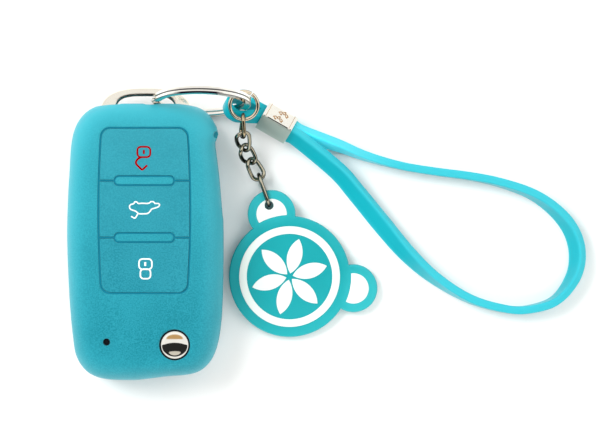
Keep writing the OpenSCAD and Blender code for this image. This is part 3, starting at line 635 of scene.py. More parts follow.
class Scuff(Effect):
    """Fine scratches and dull patches that vary a metal's gloss."""

    name = "scuff"

    def declare(self) -> None:
        """Adds the gloss between the marks and in them, and the relief."""
        self.graph.port("Smooth", "Float", value=0.12)
        self.graph.port("Rough", "Float", value=0.3)
        self.graph.port("Depth", "Float", value=0.004 * MM)
        self.graph.port("Roughness", "Float", is_output=True)
        self.graph.port("Normal", "Vector", is_output=True)

    def build(self) -> dict[str, NodeSocket]:
        """Stretches noise into scratches and mixes it with broad patches.

        Returns:
            The sockets for the gloss and the relief.
        """
        g, ports = self.graph, self.entry.outputs
        stretched = g.add("ShaderNodeMapping", {"Vector": self.position(), "Scale": (0.15, 1.0, 1.0)})
        marks = self.noise(9000.0, 2, stretched.outputs[0])
        patches = self.noise(420.0, 3)
        both = g.math("ADD", g.math("MULTIPLY", marks, 0.4), g.math("MULTIPLY", patches, 0.6))
        rough = g.remap(g.remap(both, (0.38, 0.62)), (0.0, 1.0), (ports["Smooth"], ports["Rough"]))
        height = g.math("MULTIPLY", marks, ports["Depth"])
        bump = g.add("ShaderNodeBump", {"Height": height, "Strength": 1.0, "Distance": 1.0})
        return {"Roughness": rough, "Normal": bump.outputs[0]}


class Effects:
    """The shared shader groups, each built once."""

    def __init__(self) -> None:
        """Builds the groups."""
        self.grain = Grain()
        self.drift = Drift()
        self.scuff = Scuff()


def rgba(colour: Colour) -> tuple[float, float, float, float]:
    """Adds full cover to a colour."""
    return (*colour, 1.0)


# Finishes

@dataclass(frozen=True)
class Finish:
    """Base of a finish: a name, its two colours and how it becomes a material."""

    name: str
    light: Colour
    dark: Colour

    def start(self) -> tuple[Material, Graph, Node]:
        """Makes an empty material with its shader.

        Returns:
            The material, its graph and its shader node.
        """
        material = bpy.data.materials.new(self.name)
        material.use_nodes = True
        material.diffuse_color = rgba(self.light)
        material.node_tree.nodes.clear()
        graph = Graph(material.node_tree)
        shader = graph.add("ShaderNodeBsdfPrincipled")
        graph.add("ShaderNodeOutputMaterial", {"Surface": shader.outputs[0]})
        return material, graph, shader

    def tint(self, drift: Drift, graph: Graph, patches: float, speckle: float, fineness: float) -> NodeSocket:
        """Adds the slow change between the two colours.

        Args:
            drift: the shared group that makes it.
            graph: the material's graph.
            patches: periods of the patches in a metre.
            speckle: the strength of the speckle.
            fineness: periods of the speckle in a metre.

        Returns:
            The socket with the colour.
        """
        node = drift.use(graph, Light=rgba(self.light), Dark=rgba(self.dark), Patches=patches,
                         Speckle=speckle, Fineness=fineness)
        return node.outputs["Color"]

    def make(self, effects: Effects) -> Material:
        """Builds the material."""
        raise NotImplementedError


@dataclass(frozen=True)
class SoftFinish(Finish):
    """Silicone or soft vinyl: grain, a little light under the skin, a pale bloom at the edges, and painted
    light and painted shade mixed in from masks on the piece.
    """

    roughness: float = 0.55
    spread: float = 0.06
    fineness: float = 2600.0
    depth: float = 0.012 * MM
    speckle: float = 0.5
    patches: float = 60.0
    glow: float = 0.2
    glow_tint: Colour = (0.35, 0.9, 1.0)
    glow_depth: float = 1.2 * MM
    bloom: float = 0.25
    bloom_rough: float = 0.45
    index: float = 1.41
    # Colours that masks mix in: edge for painted light, painted_shade for painted shade, and a painted glow
    # colour
    edge: Colour | None = None
    painted_shade: Colour | None = None
    painted_fill: Colour | None = None
    shine: float = 0.5

    def make(self, effects: Effects) -> Material:
        """Builds the material.

        Args:
            effects: the shared shader groups.

        Returns:
            The material.
        """
        material, graph, shader = self.start()
        colour = self.tint(effects.drift, graph, self.patches, self.speckle, self.fineness)
        # Painted light and shade: the mask rim lightens towards edge, the mask painted_shade darkens towards
        # painted_shade
        for name, over in (("rim", self.edge), ("painted_shade", self.painted_shade)):
            if over is not None:
                colour = graph.blend(graph.mask(name), colour, rgba(over))
        # Painted glow: where the mask lit says so the piece emits the colour painted_fill, lifting its shade
        if self.painted_fill is not None:
            painted_fill_colour = graph.blend(graph.mask("lit"), rgba(BLACK), rgba(self.painted_fill))
            graph.give(shader, {"Emission Color": painted_fill_colour, "Emission Strength": 1.0})
        grain = effects.grain.use(graph, Fineness=self.fineness, Depth=self.depth).outputs
        rough = graph.remap(
            grain["Mask"], (0.0, 1.0), (self.roughness - self.spread, self.roughness + self.spread))
        graph.give(shader, {
            "Base Color": colour, "Roughness": rough, "Normal": grain["Normal"],
            "Subsurface Weight": self.glow, "Subsurface Radius": self.glow_tint,
            "Subsurface Scale": self.glow_depth, "Sheen Weight": self.bloom,
            "Sheen Roughness": self.bloom_rough, "IOR": self.index, "Specular IOR Level": self.shine})
        return material


@dataclass(frozen=True)
class MetalFinish(Finish):
    """Bare or plated metal with scuffs, a painted reflection colour where it turns away from the view, satin
    or a painted reflection where the mask satin says so, and painted shade where the mask painted_shade says
    so.
    """

    smooth: float = 0.1
    rough: float = 0.25
    depth: float = 0.003 * MM
    # A second colour and roughness set by a mask: a satin finish on the sleeve, a painted reflection on the
    # button and the split ring
    satin: Colour | None = None
    satin_rough: float = 0.6
    # rim is a painted reflection colour for where the surface turns away from the view
    rim: Colour | None = None
    painted_edge_reach: Pair = (0.3, 0.6)
    # painted_shade is a painted shade colour, set where the mask painted_shade says so
    painted_shade: Colour | None = None

    def make(self, effects: Effects) -> Material:
        """Builds the material.

        Args:
            effects: the shared shader groups.

        Returns:
            The material.
        """
        material, graph, shader = self.start()
        colour = self.tint(effects.drift, graph, 300.0, 0.3, 4000.0)
        marks = effects.scuff.use(graph, Smooth=self.smooth, Rough=self.rough, Depth=self.depth).outputs
        rough = marks["Roughness"]
        # The mask satin mixes in a second colour and roughness: satin on the sleeve, a painted reflection on
        # the button and ring
        if self.satin is not None:
            share = graph.mask("satin")
            colour = graph.blend(share, colour, rgba(self.satin))
            rough = graph.remap(share, (0.0, 1.0), (rough, self.satin_rough))
        # Painted reflection: where the surface turns away from the view the colour shifts to rim
        if self.rim is not None:
            facing = graph.add("ShaderNodeLayerWeight", {"Blend": 0.5}).outputs["Facing"]
            colour = graph.blend(graph.remap(facing, self.painted_edge_reach), colour, rgba(self.rim))
        # Painted shade: the mask painted_shade darkens parts that sit in shade
        if self.painted_shade is not None:
            colour = graph.blend(graph.mask("painted_shade"), colour, rgba(self.painted_shade))
        graph.give(shader, {
            "Base Color": colour, "Roughness": rough, "Normal": marks["Normal"], "Metallic": 1.0})
        return material


@dataclass(frozen=True)
class HardFinish(Finish):
    """Hard plastic, ink or resin."""

    roughness: float = 0.4
    spread_share: float = 0.15
    fineness: float = 4000.0
    depth: float = 0.006 * MM
    coat: float = 0.0
    shine: float = 0.5

    def make(self, effects: Effects) -> Material:
        """Builds the material.

        Args:
            effects: the shared shader groups.

        Returns:
            The material.
        """
        material, graph, shader = self.start()
        colour = self.tint(effects.drift, graph, 200.0, 0.4, 3000.0)
        grain = effects.grain.use(graph, Fineness=self.fineness, Depth=self.depth).outputs
        ends = [self.roughness * (1 + side * self.spread_share) for side in (-1, 1)]
        graph.give(shader, {
            "Base Color": colour, "Roughness": graph.remap(grain["Mask"], (0.0, 1.0), ends),
            "Normal": grain["Normal"], "Coat Weight": self.coat, "Specular IOR Level": self.shine})
        return material


FINISHES: dict[str, Finish] = {
    # Cover and pads: edge is a painted lightening of the edges and bail end, partly light through the
    # silicone; the shade colour is painted shade in the grooves
    "cover_silicone": SoftFinish(
        "frosted_silicone", (0.012, 0.262, 0.337), (0.0, 0.183, 0.240), edge=(0.034, 0.375, 0.46),
        painted_shade=(0.0, 0.19, 0.28), bloom=0.08, speckle=3.0, depth=0.016 * MM),
    "pad_silicone": SoftFinish(
        "pad_silicone", (0.014, 0.250, 0.325), (0.0, 0.172, 0.232), edge=(0.034, 0.31, 0.385),
        painted_shade=(0.0, 0.19, 0.28), bloom=0.08, speckle=3.0, depth=0.016 * MM, patches=90.0),
    "shell_plastic": HardFinish("shell_plastic", (0.018, 0.018, 0.020), (0.010, 0.010, 0.012), roughness=0.5),
    "key_rubber": HardFinish("key_rubber", (0.030, 0.030, 0.033), (0.020, 0.020, 0.022), roughness=0.7),
    "board_laminate": HardFinish(
        "board_laminate", (0.03, 0.20, 0.09), (0.02, 0.14, 0.06), roughness=0.35, coat=0.4),
    "switch_metal": MetalFinish("switch_metal", (0.62, 0.63, 0.65), (0.45, 0.46, 0.48), rough=0.4),
    "cell_steel": MetalFinish("cell_steel", (0.72, 0.73, 0.75), (0.58, 0.59, 0.61), rough=0.35),
    "clip_brass": MetalFinish("clip_brass", (0.78, 0.60, 0.26), (0.62, 0.46, 0.18)),
    "dark_lens": HardFinish(
        "dark_lens", (0.004, 0.005, 0.008), (0.002, 0.003, 0.005), roughness=0.3, shine=0.2),
    "chip_resin": HardFinish("chip_resin", (0.06, 0.05, 0.045), (0.04, 0.035, 0.03)),
    "post_steel": MetalFinish("post_steel", (0.60, 0.61, 0.63), (0.46, 0.47, 0.49)),
    "hub_plastic": HardFinish("hub_plastic", (0.035, 0.035, 0.038), (0.022, 0.022, 0.025), roughness=0.45),
    "blade_steel": MetalFinish(
        "blade_steel", (0.74, 0.74, 0.73), (0.60, 0.60, 0.58), smooth=0.18, rough=0.36),
    # Button: the satin colour is a painted warm reflection; the painted_shade colour is painted shade in the
    # gap round the cap
    "button_chrome": MetalFinish(
        "button_chrome", (1.0, 0.98, 0.93), (0.95, 0.93, 0.87), smooth=0.03, rough=0.07, depth=0.0,
        satin=(0.70, 0.44, 0.19), painted_shade=(0.0, 0.012, 0.03)),
    "bail_nickel": MetalFinish(
        "bail_nickel", (1.0, 0.96, 0.87), (0.95, 0.89, 0.79), smooth=0.05, rough=0.12),
    # Ring: the satin colour is a painted dark reflection; rim is a tan painted reflection where it turns away
    "ring_nickel": MetalFinish(
        "ring_nickel", (1.0, 0.99, 0.95), (0.97, 0.94, 0.88), smooth=0.02, rough=0.06,
        satin=(0.015, 0.004, 0.02), rim=(0.66, 0.58, 0.46), painted_edge_reach=(0.5, 0.9)),
    # Jump ring and links: rim is a near-black painted reflection at the edges that turn away
    "jump_nickel": MetalFinish(
        "jump_nickel", (0.96, 0.86, 0.70), (0.82, 0.70, 0.53), smooth=0.05, rough=0.12,
        rim=(0.03, 0.02, 0.03), painted_edge_reach=(0.22, 0.55)),
    "chain_nickel": MetalFinish(
        "chain_nickel", (0.74, 0.68, 0.54), (0.50, 0.46, 0.35), smooth=0.08, rough=0.18,
        rim=(0.02, 0.026, 0.02), painted_edge_reach=(0.1, 0.4)),
    "warm_nickel": MetalFinish(
        "warm_nickel", (0.90, 0.72, 0.47), (0.62, 0.50, 0.33), smooth=0.06, rough=0.15,
        rim=(0.03, 0.03, 0.02), painted_edge_reach=(0.1, 0.4)),
    # Charm: edge is the lighter colour of the ears, outer edge and far side, partly painted light
    "charm_teal": SoftFinish(
        "charm_vinyl", (0.003, 0.33, 0.36), (0.003, 0.29, 0.32), roughness=0.42, depth=0.006 * MM,
        glow=0.1, bloom=0.05, edge=(0.03, 0.43, 0.47)),
    "charm_white": SoftFinish(
        "white_vinyl", (0.76, 0.83, 0.80), (0.71, 0.79, 0.76), roughness=0.42, depth=0.005 * MM,
        glow=0.1, bloom=0.05),
    # Strap: edge is painted highlight and painted light over the fork's shade; painted_fill is a painted glow
    "strap_silicone": SoftFinish(
        "strap_silicone", (0.0, 0.385, 0.46), (0.0, 0.355, 0.43), roughness=0.34, depth=0.003 * MM,
        speckle=0.2, glow=0.3, bloom=0.08, shine=0.22, edge=(0.08, 0.56, 0.66), painted_fill=(0.0, 0.38, 0.45)),
    # Sleeve: the satin colour is the duller side faces' finish
    "sleeve_chrome": MetalFinish(
        "sleeve_chrome", (0.93, 0.91, 0.86), (0.86, 0.84, 0.79), smooth=0.06, rough=0.14,
        satin=(0.66, 0.75, 0.70)),
    "gold_relief": MetalFinish(
        "gold_relief", (0.62, 0.33, 0.09), (0.44, 0.22, 0.05), smooth=0.2, rough=0.35),
    "red_ink": HardFinish("red_ink", (0.30, 0.0, 0.0), (0.24, 0.0, 0.0), roughness=0.9, shine=0.0),
    "white_ink": HardFinish("white_ink", (0.80, 0.84, 0.84), (0.72, 0.78, 0.78), roughness=0.6),
}


class Workshop:
    """What every sub-assembly uses: the finishes and the geometry trees."""

    def __init__(self) -> None:
        """Builds the shared groups, finishes and trees."""
        effects = Effects()
        self.materials = {slot: finish.make(effects) for slot, finish in FINISHES.items()}
        self.wire = {twist: WireTree(twist) for twist in Twist}
        self.row = RowTree()
        self.turn = TurnTree()

    def finish_piece(self, obj: Object, body: str, look: str, slot: str | None = None,
                     nodes: Sequence[str] = (), angle: float = 32) -> None:
        """Smooths, dresses and mounts a piece.

        Args:
            obj: the piece.
            body: the body that it moves with.
            look: the finish that it gets.
            slot: the record's material slot, if it isn't the finish's own name. Not used.
            nodes: the frame's nodes that it stands for.
            angle: the angle in degrees above which an edge stays sharp.
        """
        smooth(obj, angle)
        dress(obj, self.materials[look])
        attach(obj, body)
        if nodes:
            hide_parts(*nodes)
        LOG.info("%s rides on %s, %d faces", obj.name, body, len(obj.data.polygons))

    def dress_node(self, node: str, look: str) -> None:
        """Gives a node of the frame its finish."""
        dress(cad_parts[node], self.materials[look])
        LOG.info("%s keeps its shape", node)


# Stage

@dataclass
class Studio:
    """Camera, lights and table."""

    view_centre: Pair = (42.2 * MM, 7.0 * MM)
    view_width: float = 164.4 * MM
    view_level: float = 9 * MM
    camera_height: float = 900 * MM
    sensor: float = 36.0
    table_side: float = 3.0
    table_white: float = 0.90
    table_rough: float = 0.7
    tent_strength: float = 0.72
    tent_top: Colour = (1.45, 1.44, 1.38)
    tent_heights: Pair = (0.48, 0.64)
    tent_white: Colour = (1.0, 0.99, 0.96)
    tent_cream: Colour = (1.0, 0.94, 0.83)

    def build(self) -> None:
        """Sets everything up."""
        self.set_camera()
        self.set_light()
        self.set_sky()
        self.set_table()
        view = bpy.context.scene.view_settings
        view.view_transform = "Standard"
        view.look = "None"

    def set_camera(self) -> None:
        """Hangs the camera straight over the photo's centre."""
        data = bpy.data.cameras.new("camera")
        data.sensor_width = self.sensor
        data.lens = self.sensor * (self.camera_height - self.view_level) / self.view_width
        camera = add_object("camera", data)
        camera.location = (*self.view_centre, self.camera_height)
        bpy.context.scene.camera = camera

    def add_panel(self, name: str, spot: Point, side: Pair, power: float,
                  colour: Colour = (1, 1, 1)) -> None:
        """Hangs a soft light panel that faces the piece.

        Args:
            name: the light's name.
            spot: where it hangs.
            side: its two sides.
            power: its power in watts.
            colour: its colour.
        """
        data = bpy.data.lights.new(name, "AREA")
        data.shape = "RECTANGLE"
        data.size, data.size_y = side
        data.energy = power
        data.color = colour
        light = add_object(name, data)
        light.location = spot
        light.visible_glossy = False
        aim = Vector((*self.view_centre, 0)) - Vector(spot)
        light.rotation_euler = aim.to_track_quat("-Z", "Y").to_euler()

    def set_light(self) -> None:
        """Hangs soft panels all round, the strongest at the upper left, for the dull finishes only."""
        self.add_panel("key_light", (-0.62, 0.45, 0.85), (0.6, 0.6), 10.2)
        self.add_panel("right_light", (0.80, 0.05, 0.80), (0.8, 0.8), 2.9, (0.98, 1.0, 1.0))
        self.add_panel("low_light", (0.0, -0.75, 0.80), (0.9, 0.7), 4.7)

    def set_sky(self) -> None:
        """Surrounds the piece with a bright tent that has a dark strip over it, below the middle."""
        world = bpy.data.worlds.new("tent")
        bpy.context.scene.world = world
        world.use_nodes = True
        world.node_tree.nodes.clear()
        graph = Graph(world.node_tree)
        ray = graph.add("ShaderNodeTexCoord").outputs["Generated"]
        parts = graph.add("ShaderNodeSeparateXYZ", {"Vector": ray}).outputs
        ramp = graph.add("ShaderNodeValToRGB", {
            "Fac": graph.math("ADD", graph.math("MULTIPLY", parts["Y"], 0.5), 0.5)})
        white, cream = self.tent_white, self.tent_cream
        bands = [(0.0, 0.9, cream), (0.18, 0.9, cream), (0.195, 0.03, white), (0.46, 0.03, white),
                 (0.475, 1.25, white), (1.0, 1.2, white)]
        steps = ramp.color_ramp.elements
        steps[0].position, steps[1].position = bands[0][0], bands[-1][0]
        for along, _, _ in bands[1:-1]:
            steps.new(along)
        for step, (_, value, tint) in zip(steps, bands):
            step.color = rgba([value * c for c in tint])
        height = graph.remap(parts["Z"], self.tent_heights)
        mixed = graph.blend(height, rgba(self.tent_top), ramp.outputs["Color"])
        glow = graph.add("ShaderNodeBackground", {"Color": mixed, "Strength": self.tent_strength})
        graph.add("ShaderNodeOutputWorld", {"Surface": glow.outputs[0]})

    def set_table(self) -> None:
        """Lays the white table under the piece."""
        half = self.table_side / 2
        corners = np.array([[-half, -half, 0], [half, -half, 0], [half, half, 0], [-half, half, 0]])
        table = place("table", corners, [(0, 1, 2, 3)])
        material = bpy.data.materials.new("table_white")
        material.use_nodes = True
        shader = material.node_tree.nodes["Principled BSDF"]
        shader.inputs["Base Color"].default_value = rgba((self.table_white,) * 3)
        shader.inputs["Roughness"].default_value = self.table_rough
        dress(table, material)


# Cover

# How far the soft wall stands out from the plain outline, by place along Y, in millimetres
RIGHT_SAG = [
    (-38, -0.3), (-28, -0.1), (-20, 0), (3.5, 0), (7, -0.2), (10.3, -0.45), (13.6, -0.65), (18.5, -0.95),
    (21.8, -1.18), (25, -1.33), (27, -1.25), (28.3, -0.35), (29.2, 0.4), (30.2, 0.65), (31.5, 0.85),
    (34, 0.9), (36.5, 1.6), (38, 1.6)]
LEFT_SAG = [
    (-38, 0.2), (-31, 0.25), (-29, 0), (-26, -0.3), (-21, -0.33), (-16, -0.2), (-9.4, 0), (-3, 0.2),
    (3.7, 0.3), (13.6, 0.12), (20, 0), (25, 0.25), (30, 0.6), (33, 0.62), (36, 0.35), (38, 0.3)]


@dataclass
class Pillow:
    """The rounded and crowned form that the cover and its pads are cut from."""

    half_w: float = 21.25 * MM
    half_l: float = 37.9 * MM
    low: float = 0.0
    high: float = 18.5 * MM
    edge_round: float = 6.5 * MM
    crown: float = 0.5 * MM
    square: float = 5.2
    taper: float = 0.047
    rim_square: float = 2.6

    def unit(self, count: int) -> np.ndarray:
        """Gives the unit outline.

        Args:
            count: how many points it has.

        Returns:
            Its points.
        """
        a = np.linspace(0, FULL_TURN, count, endpoint=False)
        c, s = np.cos(a), np.sin(a)
        m = (np.abs(c) ** self.square + np.abs(s) ** self.square) ** (1 / self.square)
        return np.column_stack([c / m * (1 - self.taper * (s / m) ** 2), s / m])

    def half_at(self, y: float) -> float:
        """Gives the outline's half width at a place along Y."""
        along = abs(y) / self.half_l
        return self.half_w * (1 - along**self.square) ** (1 / self.square) * (1 - self.taper * along**2)

    def ring(self, inset: float, z: float, unit: np.ndarray) -> np.ndarray:
        """Gives one level ring, drawn in by inset."""
        return np.column_stack([
            (self.half_w - inset) * unit[:, 0], (self.half_l - inset) * unit[:, 1], np.full(len(unit), z)])

    def rim(self, angle: float) -> Pair:
        """Gives where the rim lies.

        Args:
            angle: the place on the rim, from -90 degrees below to 90 above.

        Returns:
            How far in it lies, and its height.
        """
        c, s = abs(cos(radians(angle))), sin(radians(angle))
        half = (self.high - self.crown - self.low) / 2
        return (self.edge_round * (1 - c ** (2 / self.rim_square)),
                self.low + half + copysign(half * abs(s) ** (2 / self.rim_square), s))

    def rings(self, count: int, rim_steps: int, crown_steps: int) -> np.ndarray:
        """Gives all rings from the underside's edge, over the rim, to the top's middle.

        Args:
            count: the points of each ring.
            rim_steps: the rings on the rim.
            crown_steps: the rings on the crown.

        Returns:
            An array of rings by points by three.
        """
        unit = self.unit(count)
        rows = [self.ring(*self.rim(a), unit) for a in np.linspace(-90, 90, rim_steps)]
        for share in np.linspace(0, 1, crown_steps, endpoint=False)[1:] if self.crown else ():
            inset = self.edge_round + (self.half_w - self.edge_round) * share
            rows.append(self.ring(inset, self.high - self.crown * (1 - share) ** 2, unit))
        return np.array(rows)

    def inset_at(self, xy: np.ndarray) -> np.ndarray:
        """Finds how far in from the outline each point lies, by halving.

        Args:
            xy: the points.

        Returns:
            Each point's inset.
        """
        low, high = np.zeros(len(xy)), np.full(len(xy), self.half_w * 0.999)
        for _ in range(30):
            mid = (low + high) / 2
            along = np.abs(xy[:, 1]) / (self.half_l - mid)
            aside = np.abs(xy[:, 0]) / ((self.half_w - mid) * np.clip(1 - self.taper * along**2, 0.5, 1))
            inside = along**self.square + aside**self.square < 1
            low, high = np.where(inside, mid, low), np.where(inside, high, mid)
        return low

    def top_at(self, xy: np.ndarray) -> np.ndarray:
        """Gives the height of the front face.

        Args:
            xy: the points that it is wanted over.

        Returns:
            The height over each point.
        """
        inset = self.inset_at(xy)
        share = np.clip((inset - self.edge_round) / (self.half_w - self.edge_round), 0, 1)
        crowned = self.high - self.crown * (1 - share) ** 2
        half = (self.high - self.crown - self.low) / 2
        c = np.clip(1 - inset / self.edge_round, 0, 1) ** (self.rim_square / 2)
        rounded = self.low + half + half * np.sqrt(np.clip(1 - c**2, 0, 1)) ** (2 / self.rim_square)
        return np.where(inset < self.edge_round, rounded, crowned)


def round_rect(w: float, l: float, r: float, bow: float = 0, corner_steps: int = 8,
               side_steps: int = 16) -> np.ndarray:
    """Gives a rectangle with round corners, whose long sides may bow out.

    Args:
        w: its width, along X.
        l: its length, along Y.
        r: its corner radius.
        bow: how far the long sides bow out at their middle.
        corner_steps: steps in a corner.
        side_steps: steps in half a long side.

    Returns:
        The closed outline's points.
    """
    side = [(w / 2, (l / 2 - r) * k / side_steps) for k in range(side_steps)]
    corner = [(w / 2 - r + r * cos(a), l / 2 - r + r * sin(a))
              for a in np.linspace(0, pi / 2, corner_steps + 1)]
    right = [(x + bow * (1 - (2 * y / l) ** 2), y) for x, y in side + corner]
    top = right + [(-x, y) for x, y in right[::-1]]
    return np.array(top + [(x, -y) for x, y in top[::-1]][1:-1])


def stadium(length: float, width: float, steps: int = 14) -> np.ndarray:
    """Gives a stadium that is long along X.

    Args:
        length: its whole length.
        width: its width.
        steps: steps in each round end.

    Returns:
        The closed outline's points.
    """
    a = np.linspace(-pi / 2, pi / 2, steps + 1)
    right = np.column_stack([length / 2 - width / 2 + width / 2 * np.cos(a), width / 2 * np.sin(a)])
    return np.concatenate([right, -right])


def finer(loop: np.ndarray, step: float) -> np.ndarray:
    """Divides a closed outline's long stretches.

    Args:
        loop: the outline's points.
        step: the longest step that is left.

    Returns:
        The points of the finer outline.
    """
    rows = []
    for a, b in zip(loop, np.roll(loop, -1, axis=0)):
        parts = max(1, ceil(float(np.linalg.norm(b - a)) / step))
        rows += [a + (b - a) * k / parts for k in range(parts)]
    return np.array(rows)


def rise(value: np.ndarray, start: float, span: float) -> np.ndarray:
    """Gives a share that grows from nought at start to one over the span."""
    return np.clip((value - start) / span, 0, 1)


def fall(value: np.ndarray, stop: float, span: float) -> np.ndarray:
    """Gives a share that shrinks over the span to nought at stop."""
    return np.clip((stop - value) / span, 0, 1)


class Button(Enum):
    """The three buttons, from the top."""

    UNLOCK = 0
    BOOT = 1
    LOCK = 2


@dataclass
class CoverShell:
    """The silicone cover with its three pads and their icons."""

    shop: Workshop
    outer: Pillow = field(default_factory=Pillow)
    wall: float = 1.5 * MM
    zone_w: float = 23.9 * MM
    zone_l: float = 45.404 * MM
    zone_x: float = 0.0
    zone_y: float = 8.4896 * MM
    zone_corner: float = 2.6 * MM
    zone_bow: float = 0.8 * MM
    button_shares: tuple[float, float, float] = (0.322, 0.340, 0.338)
    groove_w: float = 0.52 * MM
    groove_d: float = 0.3 * MM
    groove_lip: float = 0.1 * MM
    bar_l: float = 15.7 * MM
    bar_w: float = 1.9 * MM
    pad_wall: float = 0.85 * MM
    slide_gap: float = 0.05 * MM
    slot_low: float = 7.15 * MM
    slot_high: float = 11.35 * MM
    slot_top: float = 75.8 * MM * 0.385
    notch_r: float = 1.0 * MM
    pivot: Pair = (8.2025 * MM, -28.0005 * MM)
    hub_r: float = 8.2 * MM
    sweep_in: float = 1.3 * MM
    sweep_out: float = 9.7 * MM
    mouth_w: float = 27.6 * MM
    mouth_y: float = 33.9 * MM
    mouth_top: float = 14.7 * MM
    button_hole_r: float = 4.2 * MM
    led_at: Pair = (-10.285 * MM, -27.212 * MM)
    led_hole_r: float = 0.95 * MM
    hole_lip: float = 0.22 * MM
    ink_w: float = 0.54 * MM
    ink_t: float = 0.10 * MM
    far: float = 60 * MM
    side_from: float = 0.55
    side_span: float = 0.45
    end_from: float = 0.72
    end_span: float = 0.28
    swell: float = 1.4
    hollow_give: float = 0.6
    roof_rise: float = 0.65 * MM
    roof_from: float = 11.5 * MM
    roof_half: float = 13 * MM
    foot_rise: float = 1.15 * MM
    foot_from: float = -4 * MM
    foot_span: float = 13 * MM
    under_in: float = 1.2 * MM
    under_x: float = 14 * MM
    under_span: float = 3.5 * MM
    under_top: float = 6 * MM
    room_d: float = 0.5 * MM
    # Painted light: how far in and how strongly the edges are lightened, and how strongly the end towards the
    # bail is
    painted_light_reach: float = 7.5 * MM
    painted_edge_light: float = 0.65
    painted_top_light: float = 0.6

    def build(self) -> None:
        """Builds the cover, the pads and the icons."""
        grooves = self.grooves()
        for button in Button:
            self.build_pad(button, grooves)
        self.build_cover(grooves)
        self.build_icons()

    @property
    def edges(self) -> list[float]:
        """Where the buttons' rows begin and end along Y, from the top."""
        top = self.zone_y + self.zone_l / 2
        return [top - self.zone_l * sum(self.button_shares[:k]) for k in range(4)]

    def settle(self, rings: np.ndarray, give: float = 1.0) -> np.ndarray:
        """Lets the soft wall settle: it bulges over the bail, sags at the slot and gives way to the ring.

        Args:
            rings: rings of points, which are moved.
            give: the share of the sag that these rings follow.

        Returns:
            The same rings.
        """
        x, y, z = rings[..., 0].copy(), rings[..., 1].copy(), rings[..., 2]
        side = rise(np.abs(x) / self.outer.half_w, self.side_from, self.side_span) ** self.swell
        end = rise(np.abs(y) / self.outer.half_l, self.end_from, self.end_span) ** self.swell
        right = smooth_path(np.array(RIGHT_SAG) * MM, 8)
        left = smooth_path(np.array(LEFT_SAG) * MM, 8)
        aside = np.where(x > 0, np.interp(y, right[:, 0], right[:, 1]), -np.interp(y, left[:, 0], left[:, 1]))
        rings[..., 0] = x + give * aside * side
        roof = rise(z, self.roof_from, 3 * MM) * fall(np.abs(x - MM), self.roof_half, 6 * MM)
        low = rise(x, self.foot_from, self.foot_span)
        low = low * low * (3 - 2 * low)
        under = np.clip(1.5 - np.abs(x - self.under_x) / self.under_span, 0, 1)
        under *= fall(z, self.under_top, 2.5 * MM)
        top = self.roof_rise * roof - self.under_in * under
        rings[..., 1] = y + give * end * np.where(y > 0, top, self.foot_rise * low)
        return rings

    def sweep_surface(self, name: str, path: np.ndarray, is_closed: bool) -> Object:
        """Sweeps the groove's section along a flat path, at an even depth under the front face.

        Args:
            name: the object's name.
            path: the path's points in X and Y.
            is_closed: whether it is a loop.

        Returns:
            A solid to cut the groove with.
        """
        half, lip, depth = self.groove_w / 2, self.groove_lip, self.groove_d
        section = [
            (-half - lip * 1.3, lip * 2), (-half - lip, 0), (-half - lip * 0.3, -lip * 0.35), (-half, -lip),
            (-half, -depth * 0.7), (-half * 0.6, -depth), (half * 0.6, -depth), (half, -depth * 0.7),
            (half, -lip), (half + lip * 0.3, -lip * 0.35), (half + lip, 0), (half + lip * 1.3, lip * 2)]
        if is_closed:
            along = np.roll(path, -1, axis=0) - np.roll(path, 1, axis=0)
        else:
            along = np.gradient(path, axis=0)
        along /= np.linalg.norm(along, axis=1)[:, None]
        side = np.column_stack([-along[:, 1], along[:, 0]])
        top = self.outer.top_at(path)
        rings = np.array([
            [(*(p + u * n), z + v) for u, v in section] for p, n, z in zip(path, side, top)])
        return loft(name, rings, is_loop=is_closed)

    def grooves(self) -> list[Object]:
        """Makes the solids that cut the grooves: round the zone, round the bars and between them.

        Returns:
            The solids.
        """
        shift = np.array([self.zone_x, self.zone_y])
        zone = round_rect(self.zone_w - self.groove_w, self.zone_l - self.groove_w,
                          self.zone_corner - self.groove_w / 2, self.zone_bow, side_steps=30)
        solids = [self.sweep_surface("zone_groove", finer(zone + shift, 1.2 * MM), True)]
        for y in self.edges[1:3]:
            bar = stadium(self.bar_l + self.groove_w, self.bar_w + self.groove_w)
            bar = finer(bar + np.array([self.zone_x, y]), 1.2 * MM)
            solids.append(self.sweep_surface("bar_groove", bar, True))
            bow = self.zone_bow * (1 - (2 * (y - self.zone_y) / self.zone_l) ** 2)
            start = (self.bar_l + self.groove_w) / 2
            for side in (-1, 1):
                xs = self.zone_x + side * np.linspace(start, self.zone_w / 2 + bow - self.groove_w / 2, 6)
                solids.append(self.sweep_surface("joint_groove", level(xs, y), False))
        return solids

    def button_prism(self, button: Button, grow: float, low: float, high: float) -> Object:
        """Makes a prism over one button's outline, between two heights.

        Args:
            button: the button.
            grow: how far its outline grows outwards.
            low: the lower height.
            high: the upper height.

        Returns:
            The prism.
        """
        inset, i = self.groove_w - grow, button.value
        outline = round_rect(
            self.zone_w - 2 * inset, self.zone_l - 2 * inset, self.zone_corner - inset / 2, self.zone_bow)
        solid = prism("button_area", outline + np.array([self.zone_x, self.zone_y]), low, high)
        top = self.edges[i] + (self.far if button is Button.UNLOCK else self.groove_w / 2 - inset)
        bottom = self.edges[i + 1] - (self.far if button is Button.LOCK else self.groove_w / 2 - inset)
        band = box_between("band", (-self.far, bottom, low - MM), (self.far, top, high + MM))
        combine(solid, [band], "INTERSECT")
        bar = stadium(self.bar_l + 2 * inset, self.bar_w + 2 * inset)
        bars = [prism("bar", bar + np.array([self.zone_x, y]), low - MM, high + MM) for y in self.edges[1:3]]
        return combine(solid, [joined(*bars)])

    def copy_of(self, obj: Object) -> Object:
        """Copies a solid, so that it can be cut with more than once."""
        return add_object(obj.name, obj.data.copy())

